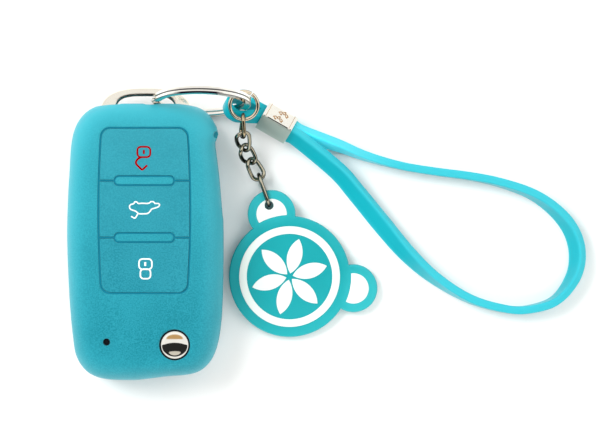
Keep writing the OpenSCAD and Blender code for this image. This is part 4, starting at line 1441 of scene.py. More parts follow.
    def body_solid(self) -> Object:
        """Makes the full pillow, finely divided."""
        return loft("cover_body", self.settle(self.outer.rings(264, 33, 16)))

    def build_pad(self, button: Button, grooves: Sequence[Object]) -> None:
        """Builds one pad, with its edges rounded by the grooves.

        Args:
            button: the button that it covers.
            grooves: the solids that cut the grooves, which are kept.
        """
        name = f"{button.name.lower()}_pad"
        pad = self.button_prism(button, 0.0, self.outer.high - self.pad_wall, self.outer.high + MM)
        combine(pad, [self.body_solid()], "INTERSECT")
        combine(pad, [self.copy_of(g) for g in grooves])
        pad.name = f"{name}_skin"
        self.mark_painted_light(pad)
        self.shop.finish_piece(pad, f"{button.name.lower()}_button", "pad_silicone", "cover_silicone", [name])

    def swing_space(self) -> list[Object]:
        """Makes the solids that open the cover for the blade's hub and swing.

        Returns:
            The solids.
        """
        (x, y), low, high = self.pivot, self.slot_low, self.slot_high
        hub = prism("hub_space", circle_points(self.hub_r, 96, self.pivot), low, high)
        right = box_between("right_space", (x + self.sweep_in, y, low), (x + self.far, self.slot_top, high))
        left = box_between("left_space", (x - self.sweep_out, -self.far, low), (x + self.far, y, high))
        at = (self.outer.half_at(self.slot_top), self.slot_top)
        notch = prism("notch", circle_points(self.notch_r, 48, at), low, self.outer.high - self.wall)
        return [hub, right, left, notch]

    def hole(self, name: str, at: Pair, radius: float) -> Object:
        """Makes the solid for a round hole through the front, with a soft lip.

        Args:
            name: the solid's name.
            at: the hole's middle.
            radius: its radius.

        Returns:
            The solid.
        """
        top = float(self.outer.top_at(np.array([at]))[0])
        lip = self.hole_lip
        profile = [(radius, -self.wall - MM), (radius, -lip), (radius + lip * 0.3, -lip * 0.3),
                   (radius + lip, 0), (radius + lip * 1.6, lip * 1.2)]
        return loft(name, np.array([level(circle_points(r, 72, at), top + z) for r, z in profile]))

    def mouth(self) -> Object:
        """Makes the solid for the bail's opening, whose upper corners slope, with room for the ring.

        Returns:
            The solid.
        """
        half = [(0.5, -1.0), (0.5, 11.0), (0.464, 12.1), (0.391, 13.5), (0.283, self.mouth_top / MM)]
        right = [(share * self.mouth_w, z * MM) for share, z in half]
        deep = self.room_d
        room = [(x * MM, self.mouth_top + up) for x, up in ((3.2, 0), (2.3, deep), (0.3, deep), (-0.6, 0))]
        outline = np.array(right + room + [(-x, z) for x, z in right[::-1]])
        rings = [level(outline, y)[:, [0, 2, 1]] for y in (self.mouth_y, self.far)]
        return loft("mouth", np.array(rings))

    def build_cover(self, grooves: Sequence[Object]) -> None:
        """Builds the cover's own wall and cuts everything out of it.

        Args:
            grooves: the solids that cut the grooves, which are used up.
        """
        cover = self.body_solid()
        wall = self.wall
        inner = Pillow(self.outer.half_w - wall, self.outer.half_l - wall, wall, self.outer.high - wall,
                       self.outer.edge_round - wall, 0.0)
        combine(cover, [loft("hollow", self.settle(inner.rings(160, 25, 1), self.hollow_give))])
        low, high = self.outer.high - wall - MM, self.outer.high + MM
        combine(cover, [self.button_prism(b, self.slide_gap, low, high) for b in Button])
        combine(cover, grooves)
        combine(cover, self.swing_space())
        combine(cover, [self.mouth(), self.hole("button_hole", self.pivot, self.button_hole_r),
                        self.hole("led_hole", self.led_at, self.led_hole_r)])
        cover.name = "cover_skin"
        self.mark_painted_light(cover)
        self.shop.finish_piece(cover, "fob", "cover_silicone", nodes=["cover"])

    def mark_painted_light(self, piece: Object) -> None:
        """Stores painted light and painted shade: the mask rim lightens the edges and the end towards the
        bail, partly as light through the thin silicone and partly as painted light, and a second mask darkens
        the grooves as painted shade.

        Args:
            piece: the cover or a pad, whose points get the masks rim and painted_shade.
        """
        points = points_of(piece)
        # Painted light: edges and the bail end lighter, partly as silicone with no key behind it, partly as
        # painted light
        inset = self.outer.inset_at(points[:, :2] * 0.999)
        near = np.clip(1 - inset / self.painted_light_reach, 0, 1) ** 1.5
        lift = np.clip((points[:, 1] / self.outer.half_l + 0.75) / 1.75, 0, 1) ** 1.3
        mark(piece, "rim", np.clip(self.painted_edge_light * near + self.painted_top_light * lift, 0, 1))
        # Painted shade: the grooves in and round the button zone are darkened, more the deeper they lie
        depth = self.outer.top_at(points[:, :2]) - points[:, 2]
        aside = np.abs(points[:, :2] - (self.zone_x, self.zone_y)) - (self.zone_w / 2, self.zone_l / 2)
        is_near = (aside.max(axis=1) < 1.5 * MM) & (depth < self.groove_d + 0.2 * MM)
        mark(piece, "painted_shade", np.where(is_near, np.clip(depth / self.groove_d, 0, 1), 0))

    # Icons, in millimetres on the cover's face

    def ink(self, name: str, stops: Sequence[Pair], button: Button, look: str,
            parts: int = 6, is_closed: bool = False, thin: float = 1.0) -> None:
        """Prints one line of an icon.

        Args:
            name: the piece's name.
            stops: the points that the line runs through, in millimetres.
            button: the button that carries it.
            look: the ink.
            parts: steps between two stops, or 1 for straight lines.
            is_closed: whether the line is a loop.
            thin: the line's width as a share of the usual one.
        """
        flat = smooth_path(np.array(stops) * MM, parts, is_closed)
        points = np.column_stack([flat, self.outer.top_at(flat) + self.ink_t * 0.1])
        line = self.shop.wire[Twist.FLAT].run(
            path_object(name, points, is_closed), self.shop.materials[look],
            Width=self.ink_w * thin, Thickness=self.ink_t, Sides=10)
        self.shop.finish_piece(line, f"{button.name.lower()}_button", look, "cover_silicone")

    def build_icons(self) -> None:
        """Prints an open padlock, a car with its boot open and a closed padlock."""
        lock_body = round_rect(3.5, 2.8, 0.95, corner_steps=6, side_steps=3)
        self.ink("open_lock_body", lock_body + (-0.14, 24.36), Button.UNLOCK, "red_ink", 1, True, 0.9)
        self.ink("open_lock_slot", [(-0.13, 23.85), (-0.13, 24.9)], Button.UNLOCK, "red_ink", 3)
        self.ink("open_lock_shackle", [
            (-1.0, 22.9), (-1.7, 22.5), (-2.25, 21.75), (-2.15, 21.05), (-1.35, 20.2), (-0.62, 19.6),
            (0.0, 20.0), (0.75, 20.75)], Button.UNLOCK, "red_ink")
        self.ink("car", [
            (-4.02, 9.4), (-3.75, 10.05), (-2.95, 10.3), (-2.55, 10.8), (-2.05, 10.8), (-1.6, 10.4),
            (-0.57, 10.45), (0.63, 10.4), (1.3, 10.5), (1.75, 10.85), (2.45, 10.85), (2.95, 10.4),
            (3.7, 10.4), (4.15, 10.05), (3.8, 9.5), (2.9, 9.15), (2.0, 8.85), (1.5, 8.2), (0.9, 7.7),
            (-0.17, 7.6), (-1.47, 7.65), (-2.37, 8.3), (-3.67, 8.8)], Button.BOOT, "white_ink", 5, True, 0.66)
        self.ink("boot_lid", [(-1.77, 7.6), (-2.12, 6.95), (-2.52, 6.45), (-3.07, 6.6), (-3.57, 6.95)],
                 Button.BOOT, "white_ink", thin=0.7)
        self.ink("lock_body", lock_body + (0.31, -6.05), Button.LOCK, "white_ink", 1, True, 0.75)
        self.ink("lock_slot", [(0.25, -5.5), (0.25, -6.55)], Button.LOCK, "white_ink", 3)
        shackle = round_rect(2.75, 2.6, 0.9, corner_steps=6, side_steps=3)
        self.ink("lock_shackle", shackle + (0.31, -8.7), Button.LOCK, "white_ink", 1, True, 0.75)


@dataclass
class KeyCore:
    """The key inside the cover, whose nodes keep their shape, and its chrome button."""

    shop: Workshop
    button_r: float = 3.75 * MM
    button_wall: float = 0.6 * MM
    rim_out: float = 0.7 * MM
    rim_t: float = 0.8 * MM
    rim_high: float = 15.5 * MM
    edge_high: float = 17.75 * MM
    edge_in: float = 0.3 * MM
    bevel: float = 0.06 * MM
    dome: float = 0.8 * MM
    dome_lean: float = 0.11
    # Size, place and start of the painted reflection patch on the cap
    reflection_patch_r: Pair = (2.4 * MM, 1.3 * MM)
    reflection_patch_y: float = 1.65 * MM
    reflection_patch_from: float = 1.55 * MM

    def build(self) -> None:
        """Dresses each node of the key."""
        looks = {
            "key_front_shell": "shell_plastic", "key_rear_shell": "shell_plastic",
            "unlock_key": "key_rubber", "boot_key": "key_rubber", "lock_key": "key_rubber",
            "circuit_board": "board_laminate", "tact_switches": "switch_metal", "coin_cell": "cell_steel",
            "battery_clips": "clip_brass", "led": "dark_lens", "transponder_chip": "chip_resin",
            "pivot_post": "post_steel", "blade_hub": "hub_plastic", "key_blade": "blade_steel",
            "blade_pin": "post_steel", "flip_spring": "post_steel"}
        for node, look in looks.items():
            self.shop.dress_node(node, look)
        self.build_release()

    def build_release(self) -> None:
        """Builds the domed chrome button that frees the blade."""
        low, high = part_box("release_button")
        centre = ((low.x + high.x) / 2, (low.y + high.y) / 2, 0.0)
        radius, wall, edge, bevel = self.button_r, self.button_wall, self.edge_high, self.bevel
        inner = radius - self.edge_in
        rim_low = self.rim_high - self.rim_t
        big = (inner**2 + self.dome**2) / (2 * self.dome)
        tilt = asin(inner / big)
        skirt = [
            (radius - wall, low.z), (radius, low.z), (radius, rim_low), (radius + self.rim_out, rim_low),
            (radius + self.rim_out, self.rim_high), (radius, self.rim_high), (radius, edge - 2 * bevel),
            (radius - bevel, edge), (inner + bevel, edge), (inner + bevel / 4, edge)]
        cap = [(big * sin(a), edge + self.dome - big * (1 - cos(a)))
               for a in np.linspace(tilt * 0.99, 0.002, 24)]
        under = [(0.0002 * radius, edge - wall), (radius - wall, edge - wall)]
        button = lathe("release_dome", skirt + cap + under, centre, 96)
        points = points_of(button) - (centre[0], centre[1], edge)
        is_cap = points[:, 2] > 0
        away = np.hypot(*points[:, :2].T) / inner
        spread = np.clip(1 - away ** np.where(points[:, 1] > 0, 2, 10), 0, 1)
        points[:, 2] += is_cap * self.dome_lean * points[:, 1] * spread
        move_points(button, points + (centre[0], centre[1], edge))
        # Painted reflection: a warm oval patch on the upper part of the cap
        away = np.hypot(points[:, 0] / self.reflection_patch_r[0], (points[:, 1] - self.reflection_patch_y) / self.reflection_patch_r[1])
        reflection_patch = fall(away, 1, 0.12) * rise(points[:, 1], self.reflection_patch_from, 0.15 * MM)
        mark(button, "satin", reflection_patch * is_cap)
        # Painted shade: the skirt and flange below the cap's edge, in the shaded gap under the cover, are
        # darkened
        mark(button, "painted_shade", points[:, 2] < -self.edge_in)
        self.shop.finish_piece(button, "release", "button_chrome", nodes=["release_button"])


# Rings and chain

def heading(turn: float, dip: float) -> np.ndarray:
    """Gives a direction from its compass turn and its dip, in degrees."""
    t, d = radians(turn), radians(dip)
    return np.array([cos(t) * cos(d), sin(t) * cos(d), -sin(d)])


def level_across(along: np.ndarray) -> np.ndarray:
    """Gives the level direction that is square to another one."""
    flat = np.cross([0, 0, 1], along)
    return flat / np.linalg.norm(flat)


def soft_section(w: float, t: float, soft: float, steps: int = 4) -> np.ndarray:
    """Gives a rectangle with rounded corners.

    Args:
        w: its width.
        t: its thickness.
        soft: the radius of its corners.
        steps: steps in a corner.

    Returns:
        The closed outline's points.
    """
    rows = []
    for corner, (sx, sy) in enumerate([(1, -1), (1, 1), (-1, 1), (-1, -1)]):
        for a in np.linspace(-90, 0, steps + 1) + 90 * corner:
            rows.append((sx * (w / 2 - soft) + soft * cos(radians(a)),
                         sy * (t / 2 - soft) + soft * sin(radians(a))))
    return np.array(rows)


@dataclass
class SplitRing:
    """The two-turn ring that stands in the bail, with the places on it."""

    outer_d: float = 28 * MM
    band: float = 2 * MM
    turn: float = 1 * MM
    slack: float = 0.05 * MM
    lean: float = 12
    step_at: float = 172
    step: float = 17
    soft: float = 0.3 * MM
    gap: float = 0.05 * MM
    pressed: float = 0.85 * MM
    # Where on the section the painted dark reflection's line and band lie, in degrees
    dark_reflection_line_at: float = -50
    dark_reflection_line_half: float = 25
    dark_reflection_band: Pair = (-70, 2)
    dark_reflection_band_soft: float = 8
    at_xy: Pair = (14.875 * MM, 38.2 * MM)

    @property
    def radius(self) -> float:
        """The radius of the band's middle."""
        return self.outer_d / 2 - self.band / 2

    @property
    def centre(self) -> np.ndarray:
        """Works out the middle of the ring, which stands on the table.

        Returns:
            The middle.
        """
        lean, axial = radians(self.lean), 2 * self.turn + self.slack
        high = self.outer_d / 2 * cos(lean) + axial / 2 * sin(lean) + self.gap
        return np.array([*self.at_xy, high])

    @property
    def axes(self) -> tuple[np.ndarray, np.ndarray, np.ndarray]:
        """Along the ring's level diameter, up its face, and along its axis."""
        c, s = cos(radians(self.lean)), sin(radians(self.lean))
        return np.array([1.0, 0, 0]), np.array([0, s, c]), np.array([0, c, -s])

    def point(self, angle: float) -> np.ndarray:
        """Gives the point of the ring at an angle in degrees."""
        (u, v, _), a = self.axes, radians(angle)
        return self.centre + self.radius * (cos(a) * u + sin(a) * v)

    def solid(self) -> Object:
        """Makes the two turns, with the crossover between them and the mask of a painted dark reflection: a
        thin line along both turns and a broader band on parts of the first.

        Returns:
            The ring, drawn in at its left end.
        """
        u, v, n = self.axes
        lift = self.turn + self.slack
        section = finer(soft_section(self.band, self.turn, self.soft), 0.1 * MM)
        # Painted reflection: a thin dark line along the band's section, and a broader dark band on parts of
        # the first turn
        turned = np.degrees(np.arctan2(section[:, 1], section[:, 0] - self.band / 4))
        thin = np.clip(1 - np.abs(turned - self.dark_reflection_line_at) / self.dark_reflection_line_half, 0, 1)
        start, stop = self.dark_reflection_band
        broad = fall(turned, stop, self.dark_reflection_band_soft) * rise(turned, start, self.dark_reflection_band_soft)
        rings, dark = [], []
        for a in np.linspace(self.step, 720 - self.step, 360):
            share = min(max((a - 360 + self.step) / (2 * self.step), 0), 1)
            side = -lift / 2 + lift * share**2 * (3 - 2 * share)
            at = radians(self.step_at + a)
            out = cos(at) * u + sin(at) * v
            pressed = min(max((-cos(at) - 0.5) / 0.5, 0), 1)
            here = self.radius - self.pressed * pressed**2 * (3 - 2 * pressed)
            rings.append([self.centre + (here + p) * out + (side + q) * n for p, q in section])
            middle = (share < 0.5) * min(max((0.5 - abs(cos(at))) / 0.15, 0), 1)
            dark.append(np.maximum(thin, broad * middle))
        wire = loft("split_ring_wire", np.array(rings))
        mark(wire, "satin", np.array(dark))
        return wire


@dataclass
class Bail:
    """The flat metal arch that the key's shells grip."""

    width: float = 25.2 * MM
    out: float = 4.15 * MM
    bar: float = 2.3 * MM
    thick: float = 2.2 * MM
    leg: float = 4.5 * MM
    soft: float = 0.45 * MM
    half_l: float = 37.9 * MM
    level: float = 9.25 * MM
    root: float = 4.5 * MM
    outer_share: float = 2.6
    inner_share: float = 3.6
    spring_in: float = 3.4 * MM
    base_in: float = 3.2 * MM

    def arch(self, half_w: float, top: float, share: float, z: float, base: float) -> np.ndarray:
        """Gives one arch from leg to leg.

        Args:
            half_w: its half width.
            top: where it ends along Y.
            share: how square it is.
            z: its height.
            base: where its legs begin along Y.

        Returns:
            Its points.
        """
        spring = self.half_l - self.spring_in
        a = np.linspace(0, pi, 49)
        x = half_w * np.sign(np.cos(a)) * np.abs(np.cos(a)) ** (2 / share)
        y = spring + (top - spring) * np.clip(np.sin(a), 0, 1) ** (2 / share)
        return np.vstack([[(half_w, base, z)], level(np.column_stack([x, y]), z), [(-half_w, base, z)]])

    def solid(self) -> Object:
        """Makes the arch as a band between its outer and inner line, with soft edges.

        Returns:
            The arch.
        """
        base = self.half_l - self.base_in - self.root
        top = self.half_l + self.out
        outer, inner = [], []
        for a in np.linspace(-90, 90, 9):
            draw = self.soft * (1 - cos(radians(a)))
            z = self.level + (self.thick / 2 - self.soft) * np.sign(a) + self.soft * sin(radians(a))
            outer.append(self.arch(self.width / 2 - draw, top - draw, self.outer_share, z, base))
            inner.append(self.arch(self.width / 2 - self.leg + draw, top - self.bar + draw,
                                   self.inner_share, z, base))
        return loft("bail_arch", np.array(outer + inner[::-1]).transpose(1, 0, 2))


@dataclass
class Chain:
    """Jump ring, four twisted curb links and a long plain link."""

    ring: SplitRing
    wire: float = 1.1 * MM
    jump_d: float = 8.75 * MM
    jump_a: float = -13
    jump_turn: float = -93
    jump_dip: float = 7
    jump_shift: tuple[float, float, float] = (-0.7 * MM, -0.4 * MM, 0.7 * MM)
    jump_cut: float = 3
    link_l: float = 7.3 * MM
    link_w: float = 4.7 * MM
    long_l: float = 10.05 * MM
    long_w: float = 5.6 * MM
    play: float = 0.2 * MM
    turns: tuple[float, ...] = (-92, -86, -62, -61, -71)
    dips: tuple[float, ...] = (14, 42, 33, 12, 4)
    starts: tuple[float, ...] = (90, -20, -45, -45, 90)
    ends: tuple[float, ...] = (70, 45, 45, 0, 90)

    @property
    def jump_r(self) -> float:
        """The radius of the jump ring's wire."""
        return self.jump_d / 2 - self.wire / 2

    @property
    def jump_at(self) -> np.ndarray:
        """The middle of the jump ring."""
        return self.ring.point(self.jump_a) + np.array(self.jump_shift)

    def size(self, i: int) -> Pair:
        """Gives a link's length and width."""
        return (self.long_l, self.long_w) if i == 4 else (self.link_l, self.link_w)

    def joints(self) -> list[np.ndarray]:
        """Finds the places where one piece of the chain passes through the next.

        Returns:
            The six places, from the jump ring to the charm.
        """
        at = self.jump_at + self.jump_r * heading(self.jump_turn, self.jump_dip)
        spots = [at - (self.wire + self.play) / 2 * heading(self.turns[0], self.dips[0])]
        for i in range(5):
            reach = self.size(i)[0] - 2 * self.wire - self.play
            spots.append(spots[-1] + reach * heading(self.turns[i], self.dips[i]))
        return spots

    def link_points(self, i: int, steps: int = 72) -> np.ndarray:
        """Gives a link's centre line, twisted from one end to the other.

        Args:
            i: the link's place in the chain, from nought.
            steps: how many points it has.

        Returns:
            The closed line's points.
        """
        length, width = self.size(i)
        along = heading(self.turns[i], self.dips[i])
        spots = self.joints()
        middle = (spots[i] + spots[i + 1]) / 2
        flat = level_across(along)
        up = np.cross(along, flat)
        r = (width - self.wire) / 2
        straight = (length - self.wire) / 2 - r
        rows = []
        for a in np.linspace(0, FULL_TURN, steps, endpoint=False):
            c = cos(a)
            p = straight * copysign(min(1, abs(c) * 4), c) + r * c
            share = 0.5 + p / (length - self.wire)
            tilt = radians(self.starts[i] + (self.ends[i] - self.starts[i]) * share)
            rows.append(middle + p * along + r * sin(a) * (cos(tilt) * flat + sin(tilt) * up))
        return np.array(rows)

    def jump_points(self, steps: int = 96) -> np.ndarray:
        """Gives the jump ring's line, open at its closed joint.

        Args:
            steps: how many points it has.

        Returns:
            The line's points.
        """
        along = heading(self.jump_turn, self.jump_dip)
        flat = level_across(along)
        a = np.radians(150 + np.linspace(0, 360 - self.jump_cut, steps))
        return self.jump_at + self.jump_r * (np.cos(a)[:, None] * along + np.sin(a)[:, None] * flat)


@dataclass
class RingWork:
    """Bail, split ring, jump ring and chain together."""

    shop: Workshop
    chain: Chain

    def build(self) -> None:
        """Builds every metal ring and link."""
        self.shop.finish_piece(Bail().solid(), "fob", "bail_nickel", nodes=["key_bail"], angle=40)
        self.shop.finish_piece(self.chain.ring.solid(), "ring", "ring_nickel", nodes=["split_ring"], angle=50)
        sweep = self.shop.wire[Twist.LEAST]
        size = {"Width": self.chain.wire, "Thickness": self.chain.wire, "Sides": 16}
        jump = sweep.run(path_object("jump_ring_wire", self.chain.jump_points()), **size)
        self.shop.finish_piece(jump, "jump", "jump_nickel", "ring_nickel", ["jump_ring"], 50)
        for i in range(5):
            link = sweep.run(path_object(f"link_{i + 1}_wire", self.chain.link_points(i), True), **size)
            look = "chain_nickel" if i else "warm_nickel"
            self.shop.finish_piece(link, f"link_{i + 1}", look, "chain_nickel", [f"chain_link_{i + 1}"], 50)


# Charm

@dataclass(frozen=True)
class Layer:
    """An inlay's or pocket's two heights, the rounding of its upper edge and how far it grows."""

    low: float
    high: float
    soft: float
    grow: float = 0.0


@dataclass
class Charm:
    """The soft two-colour disc with two ears."""

    shop: Workshop
    chain: Chain
    disc_d: float = 33.4 * MM
    thick: float = 2.8 * MM
    soft: float = 0.45 * MM
    halo_d: float = 27.8 * MM
    halo_w: float = 2.1 * MM
    ear_d: float = 13.2 * MM
    ear_spread: float = 116.5
    hole_r: float = 1.25 * MM
    hole_in: float = 4.1 * MM
    hang_turn: float = -74
    inlay_t: float = 0.9 * MM
    inlay_proud: float = 0.1 * MM
    inlay_soft: float = 0.12 * MM
    petal_share: float = 0.42
    petal_gap: float = 0.9 * MM
    fit: float = 0.05 * MM
    petal_out: float = 1.1 * MM
    ear_band: float = 2.4 * MM
    ear_step: float = 0.3 * MM
    painted_light_reach: float = 0.8 * MM

    @property
    def ear_reach(self) -> float:
        """From the disc's middle to an ear's."""
        return self.disc_d / 2 + self.ear_d * 0.095

    @property
    def hole_reach(self) -> float:
        """From the disc's middle to the ear's hole."""
        return self.ear_reach + self.ear_d / 2 - self.hole_in

    def to_world(self, obj: Object) -> Object:
        """Moves a mesh from the charm's own frame to its place on the table.

        Args:
            obj: the piece.

        Returns:
            The same piece.
        """
        hang = self.chain.joints()[5]
        gap = (self.chain.wire + self.chain.play) / 2
        above = hang[2] - self.thick / 2 - self.fit
        tip = asin(above / (self.hole_reach + gap + self.disc_d / 2))
        turn = radians(self.hang_turn + 180)
        ct, st, cd, sd = cos(turn), sin(turn), cos(-tip), sin(-tip)
        lean = np.array([[cd, 0, sd], [0, 1, 0], [-sd, 0, cd]])
        spin = np.array([[ct, -st, 0], [st, ct, 0], [0, 0, 1]])
        points = points_of(obj) + (-self.hole_reach - gap, 0, -self.thick / 2)
        move_points(obj, points @ (spin @ lean).T + hang)
        return obj

    def outline(self, grow: float) -> np.ndarray:
        """Gives the disc's outline with its two ears.

        Args:
            grow: how far it grows outwards.

        Returns:
            Its points.
        """
        big, small, reach = self.disc_d / 2 + grow, self.ear_d / 2 + grow, self.ear_reach
        half = acos((big**2 + reach**2 - small**2) / (2 * big * reach))
        side = acos(np.clip((small**2 + reach**2 - big**2) / (2 * small * reach), -1, 1))
        spread = radians(self.ear_spread)
        rows = []
        for ear in (0.0, -spread):
            for a in np.linspace(side - pi, pi - side, 49):
                rows.append((reach * cos(ear) + small * cos(ear + a),
                             reach * sin(ear) + small * sin(ear + a)))
            start = ear + half
            stop = FULL_TURN - spread - half if ear == 0.0 else -half
            count = 97 if ear == 0.0 else 41
            rows += [(big * cos(a), big * sin(a)) for a in np.linspace(start, stop, count)[1:-1]]
        return np.array(rows)

    def raised(self, name: str, outline: Callable[[float], np.ndarray], layer: Layer) -> Object:
        """Makes a plate over an outline, with its upper edge rounded.

        Args:
            name: the object's name.
            outline: gives the outline grown by a length.
            layer: its heights, rounding and growth.

        Returns:
            The plate.
        """
        edge = [(-layer.soft * (1 - cos(a)), layer.high - layer.soft * (1 - sin(a)))
                for a in np.linspace(0, pi / 2, 6)]
        rings = [level(outline(g + layer.grow), z) for g, z in [(0.0, layer.low), *edge]]
        return loft(name, np.array(rings))

    def ring_plate(self, name: str, layer: Layer) -> Object:
        """Makes the white ring, or the pocket that holds it.

        Args:
            name: the object's name.
            layer: its heights, rounding and growth.

        Returns:
            The ring.
        """
        out, into = self.halo_d / 2 + layer.grow, self.halo_d / 2 - self.halo_w - layer.grow
        arc = [(layer.soft * (1 - cos(a)), layer.high - layer.soft * (1 - sin(a)))
               for a in np.linspace(0, pi / 2, 5)]
        edges = [(out - d, z) for d, z in arc] + [(into + d, z) for d, z in arc[::-1]]
        return lathe(name, [(into, layer.low), (out, layer.low)] + edges, (0, 0, 0), 128)

    def petal(self, grow: float) -> np.ndarray:
        """Gives the outline of one pointed petal.

        Args:
            grow: how far it grows outwards.

        Returns:
            Its points.
        """
        outer = self.halo_d / 2 - self.halo_w - self.petal_out
        length = outer - self.petal_gap
        width = self.petal_share * length
        big = (length**2 + width**2) / (4 * width)
        lift = big - width / 2
        reach = acos(lift / (big + grow))
        middle = self.petal_gap + length / 2
        upper = [(middle + (big + grow) * sin(a), (big + grow) * cos(a) - lift)
                 for a in np.linspace(reach, -reach, 29)]
        lower = [(x, -y) for x, y in upper[::-1]]
        return np.array(upper[:-1] + lower[:-1])

    def rosette(self, layer: Layer) -> Object:
        """Makes six petals round the middle, or the pockets that hold them.

        Args:
            layer: their heights, rounding and growth.

        Returns:
            The petals.
        """
        rosette = self.shop.turn.run(self.raised("rosette", self.petal, layer), Count=6, Start=pi / 6)
        turn_outwards(rosette)
        return rosette

    def ear_outline(self, grow: float) -> np.ndarray:
        """Gives the outline of the first ear's inlay, a disc cut by a round step.

        Args:
            grow: how far it grows outwards.

        Returns:
            Its points.
        """
        small = (self.ear_d - 2 * self.ear_band) / 2 + grow
        step, reach = self.disc_d / 2 + self.ear_step - grow, self.ear_reach
        half = acos((step**2 + reach**2 - small**2) / (2 * step * reach))
        side = acos(np.clip((small**2 + reach**2 - step**2) / (2 * small * reach), -1, 1))
        outer = [(reach + small * cos(a), small * sin(a))
                 for a in np.linspace(side - pi, pi - side, 41)]
        inner = [(step * cos(a), step * sin(a)) for a in np.linspace(half, -half, 17)][1:-1]
        return np.array(outer + inner)

    def ears(self, layer: Layer) -> Object:
        """Makes both ears' inlays, or the pockets that hold them.

        Args:
            layer: their heights, rounding and growth.

        Returns:
            The two inlays in one object.
        """
        first, second = (self.raised(name, self.ear_outline, layer) for name in ("ear_inlays", "second_ear"))
        turn = radians(-self.ear_spread)
        c, s = cos(turn), sin(turn)
        move_points(second, points_of(second) @ np.array([[c, s, 0], [-s, c, 0], [0, 0, 1]]))
        return joined(first, second)

    def hole_solid(self) -> Object:
        """Makes the solid for the hole that the long link passes through."""
        return prism("ear_hole", circle_points(self.hole_r, 48, (self.hole_reach, 0)), -MM, self.thick + MM)

    def disc(self) -> Object:
        """Makes the teal disc with rounded edges, its pockets and its hole.

        Returns:
            The disc.
        """
        arc = np.linspace(0, pi / 2, 7)
        low = [(-self.soft * (1 - sin(a)), self.soft * (1 - cos(a))) for a in arc]
        high = [(g, self.thick - z) for g, z in low[::-1]]
        disc = loft("charm_body", np.array([level(self.outline(g), z) for g, z in low + high]))
        pocket = Layer(self.thick - self.inlay_t, self.thick + MM, 0.001 * MM, self.fit / 5)
        cuts = [self.ring_plate("halo_pocket", pocket), self.rosette(pocket), self.ears(pocket)]
        combine(disc, [*cuts, self.hole_solid()])
        self.mark_painted_light(disc)
        return disc

    def mark_painted_light(self, disc: Object) -> None:
        """Stores a lightening mask: ears and outer edge lighter, partly light through the thin vinyl and
        partly painted light; the side away from the hole lighter as painted light.

        Args:
            disc: the disc, whose points get the mask rim.
        """
        # Painted light: ears and outer edge lighter, partly through the vinyl; the side away from the hole
        # lighter
        points = points_of(disc)
        reach = np.hypot(points[:, 0], points[:, 1]) - self.disc_d / 2
        ears = np.clip(reach / self.painted_light_reach, 0, 1) * 0.55
        edge = np.clip(1 + reach / self.painted_light_reach, 0, 1) * 0.4
        away = np.clip(-points[:, 0] / self.disc_d - 0.1, 0, 1) * 0.9
        mark(disc, "rim", np.clip(np.maximum(ears, edge) + away, 0, 1))

    def build(self) -> None:
        """Builds the charm's four pieces."""
        disc = self.to_world(self.disc())
        self.shop.finish_piece(disc, "charm", "charm_teal", nodes=["charm_disc"], angle=40)
        inlay = Layer(self.thick - self.inlay_t, self.thick + self.inlay_proud, self.inlay_soft)
        for node, piece in (
                ("charm_halo", self.ring_plate("charm_ring", inlay)),
                ("charm_rosette", self.rosette(inlay)),
                ("charm_ear_inlays", combine(self.ears(inlay), [self.hole_solid()]))):
            self.shop.finish_piece(self.to_world(piece), "charm", "charm_white", nodes=[node], angle=50)


# Strap

# Route of the free loop: x, y and z of the strap's middle in metres, and its outer face's roll in degrees
STRAP_ROUTE = [
    (0.0525, 0.0265, 0.0038, 108), (0.0603, 0.0235, 0.0031, 97), (0.0699, 0.0209, 0.00295, 90),
    (0.0793, 0.0193, 0.00295, 90), (0.0890, 0.0180, 0.00295, 91), (0.0974, 0.0162, 0.0030, 95),
    (0.1062, 0.0130, 0.0031, 102), (0.1129, 0.0082, 0.0031, 113), (0.1172, 0.0025, 0.0031, 122),
    (0.1187, -0.0039, 0.0031, 124), (0.1173, -0.0103, 0.0031, 114), (0.1124, -0.0164, 0.0030, 98),
    (0.1048, -0.0188, 0.00295, 91), (0.0982, -0.0185, 0.00295, 88), (0.0889, -0.0158, 0.0030, 84),
    (0.0796, -0.0103, 0.0031, 71), (0.0720, -0.0036, 0.0031, 51), (0.0650, 0.0045, 0.0031, 36),
    (0.0579, 0.0132, 0.0034, 38), (0.0524, 0.0195, 0.0038, 42)]


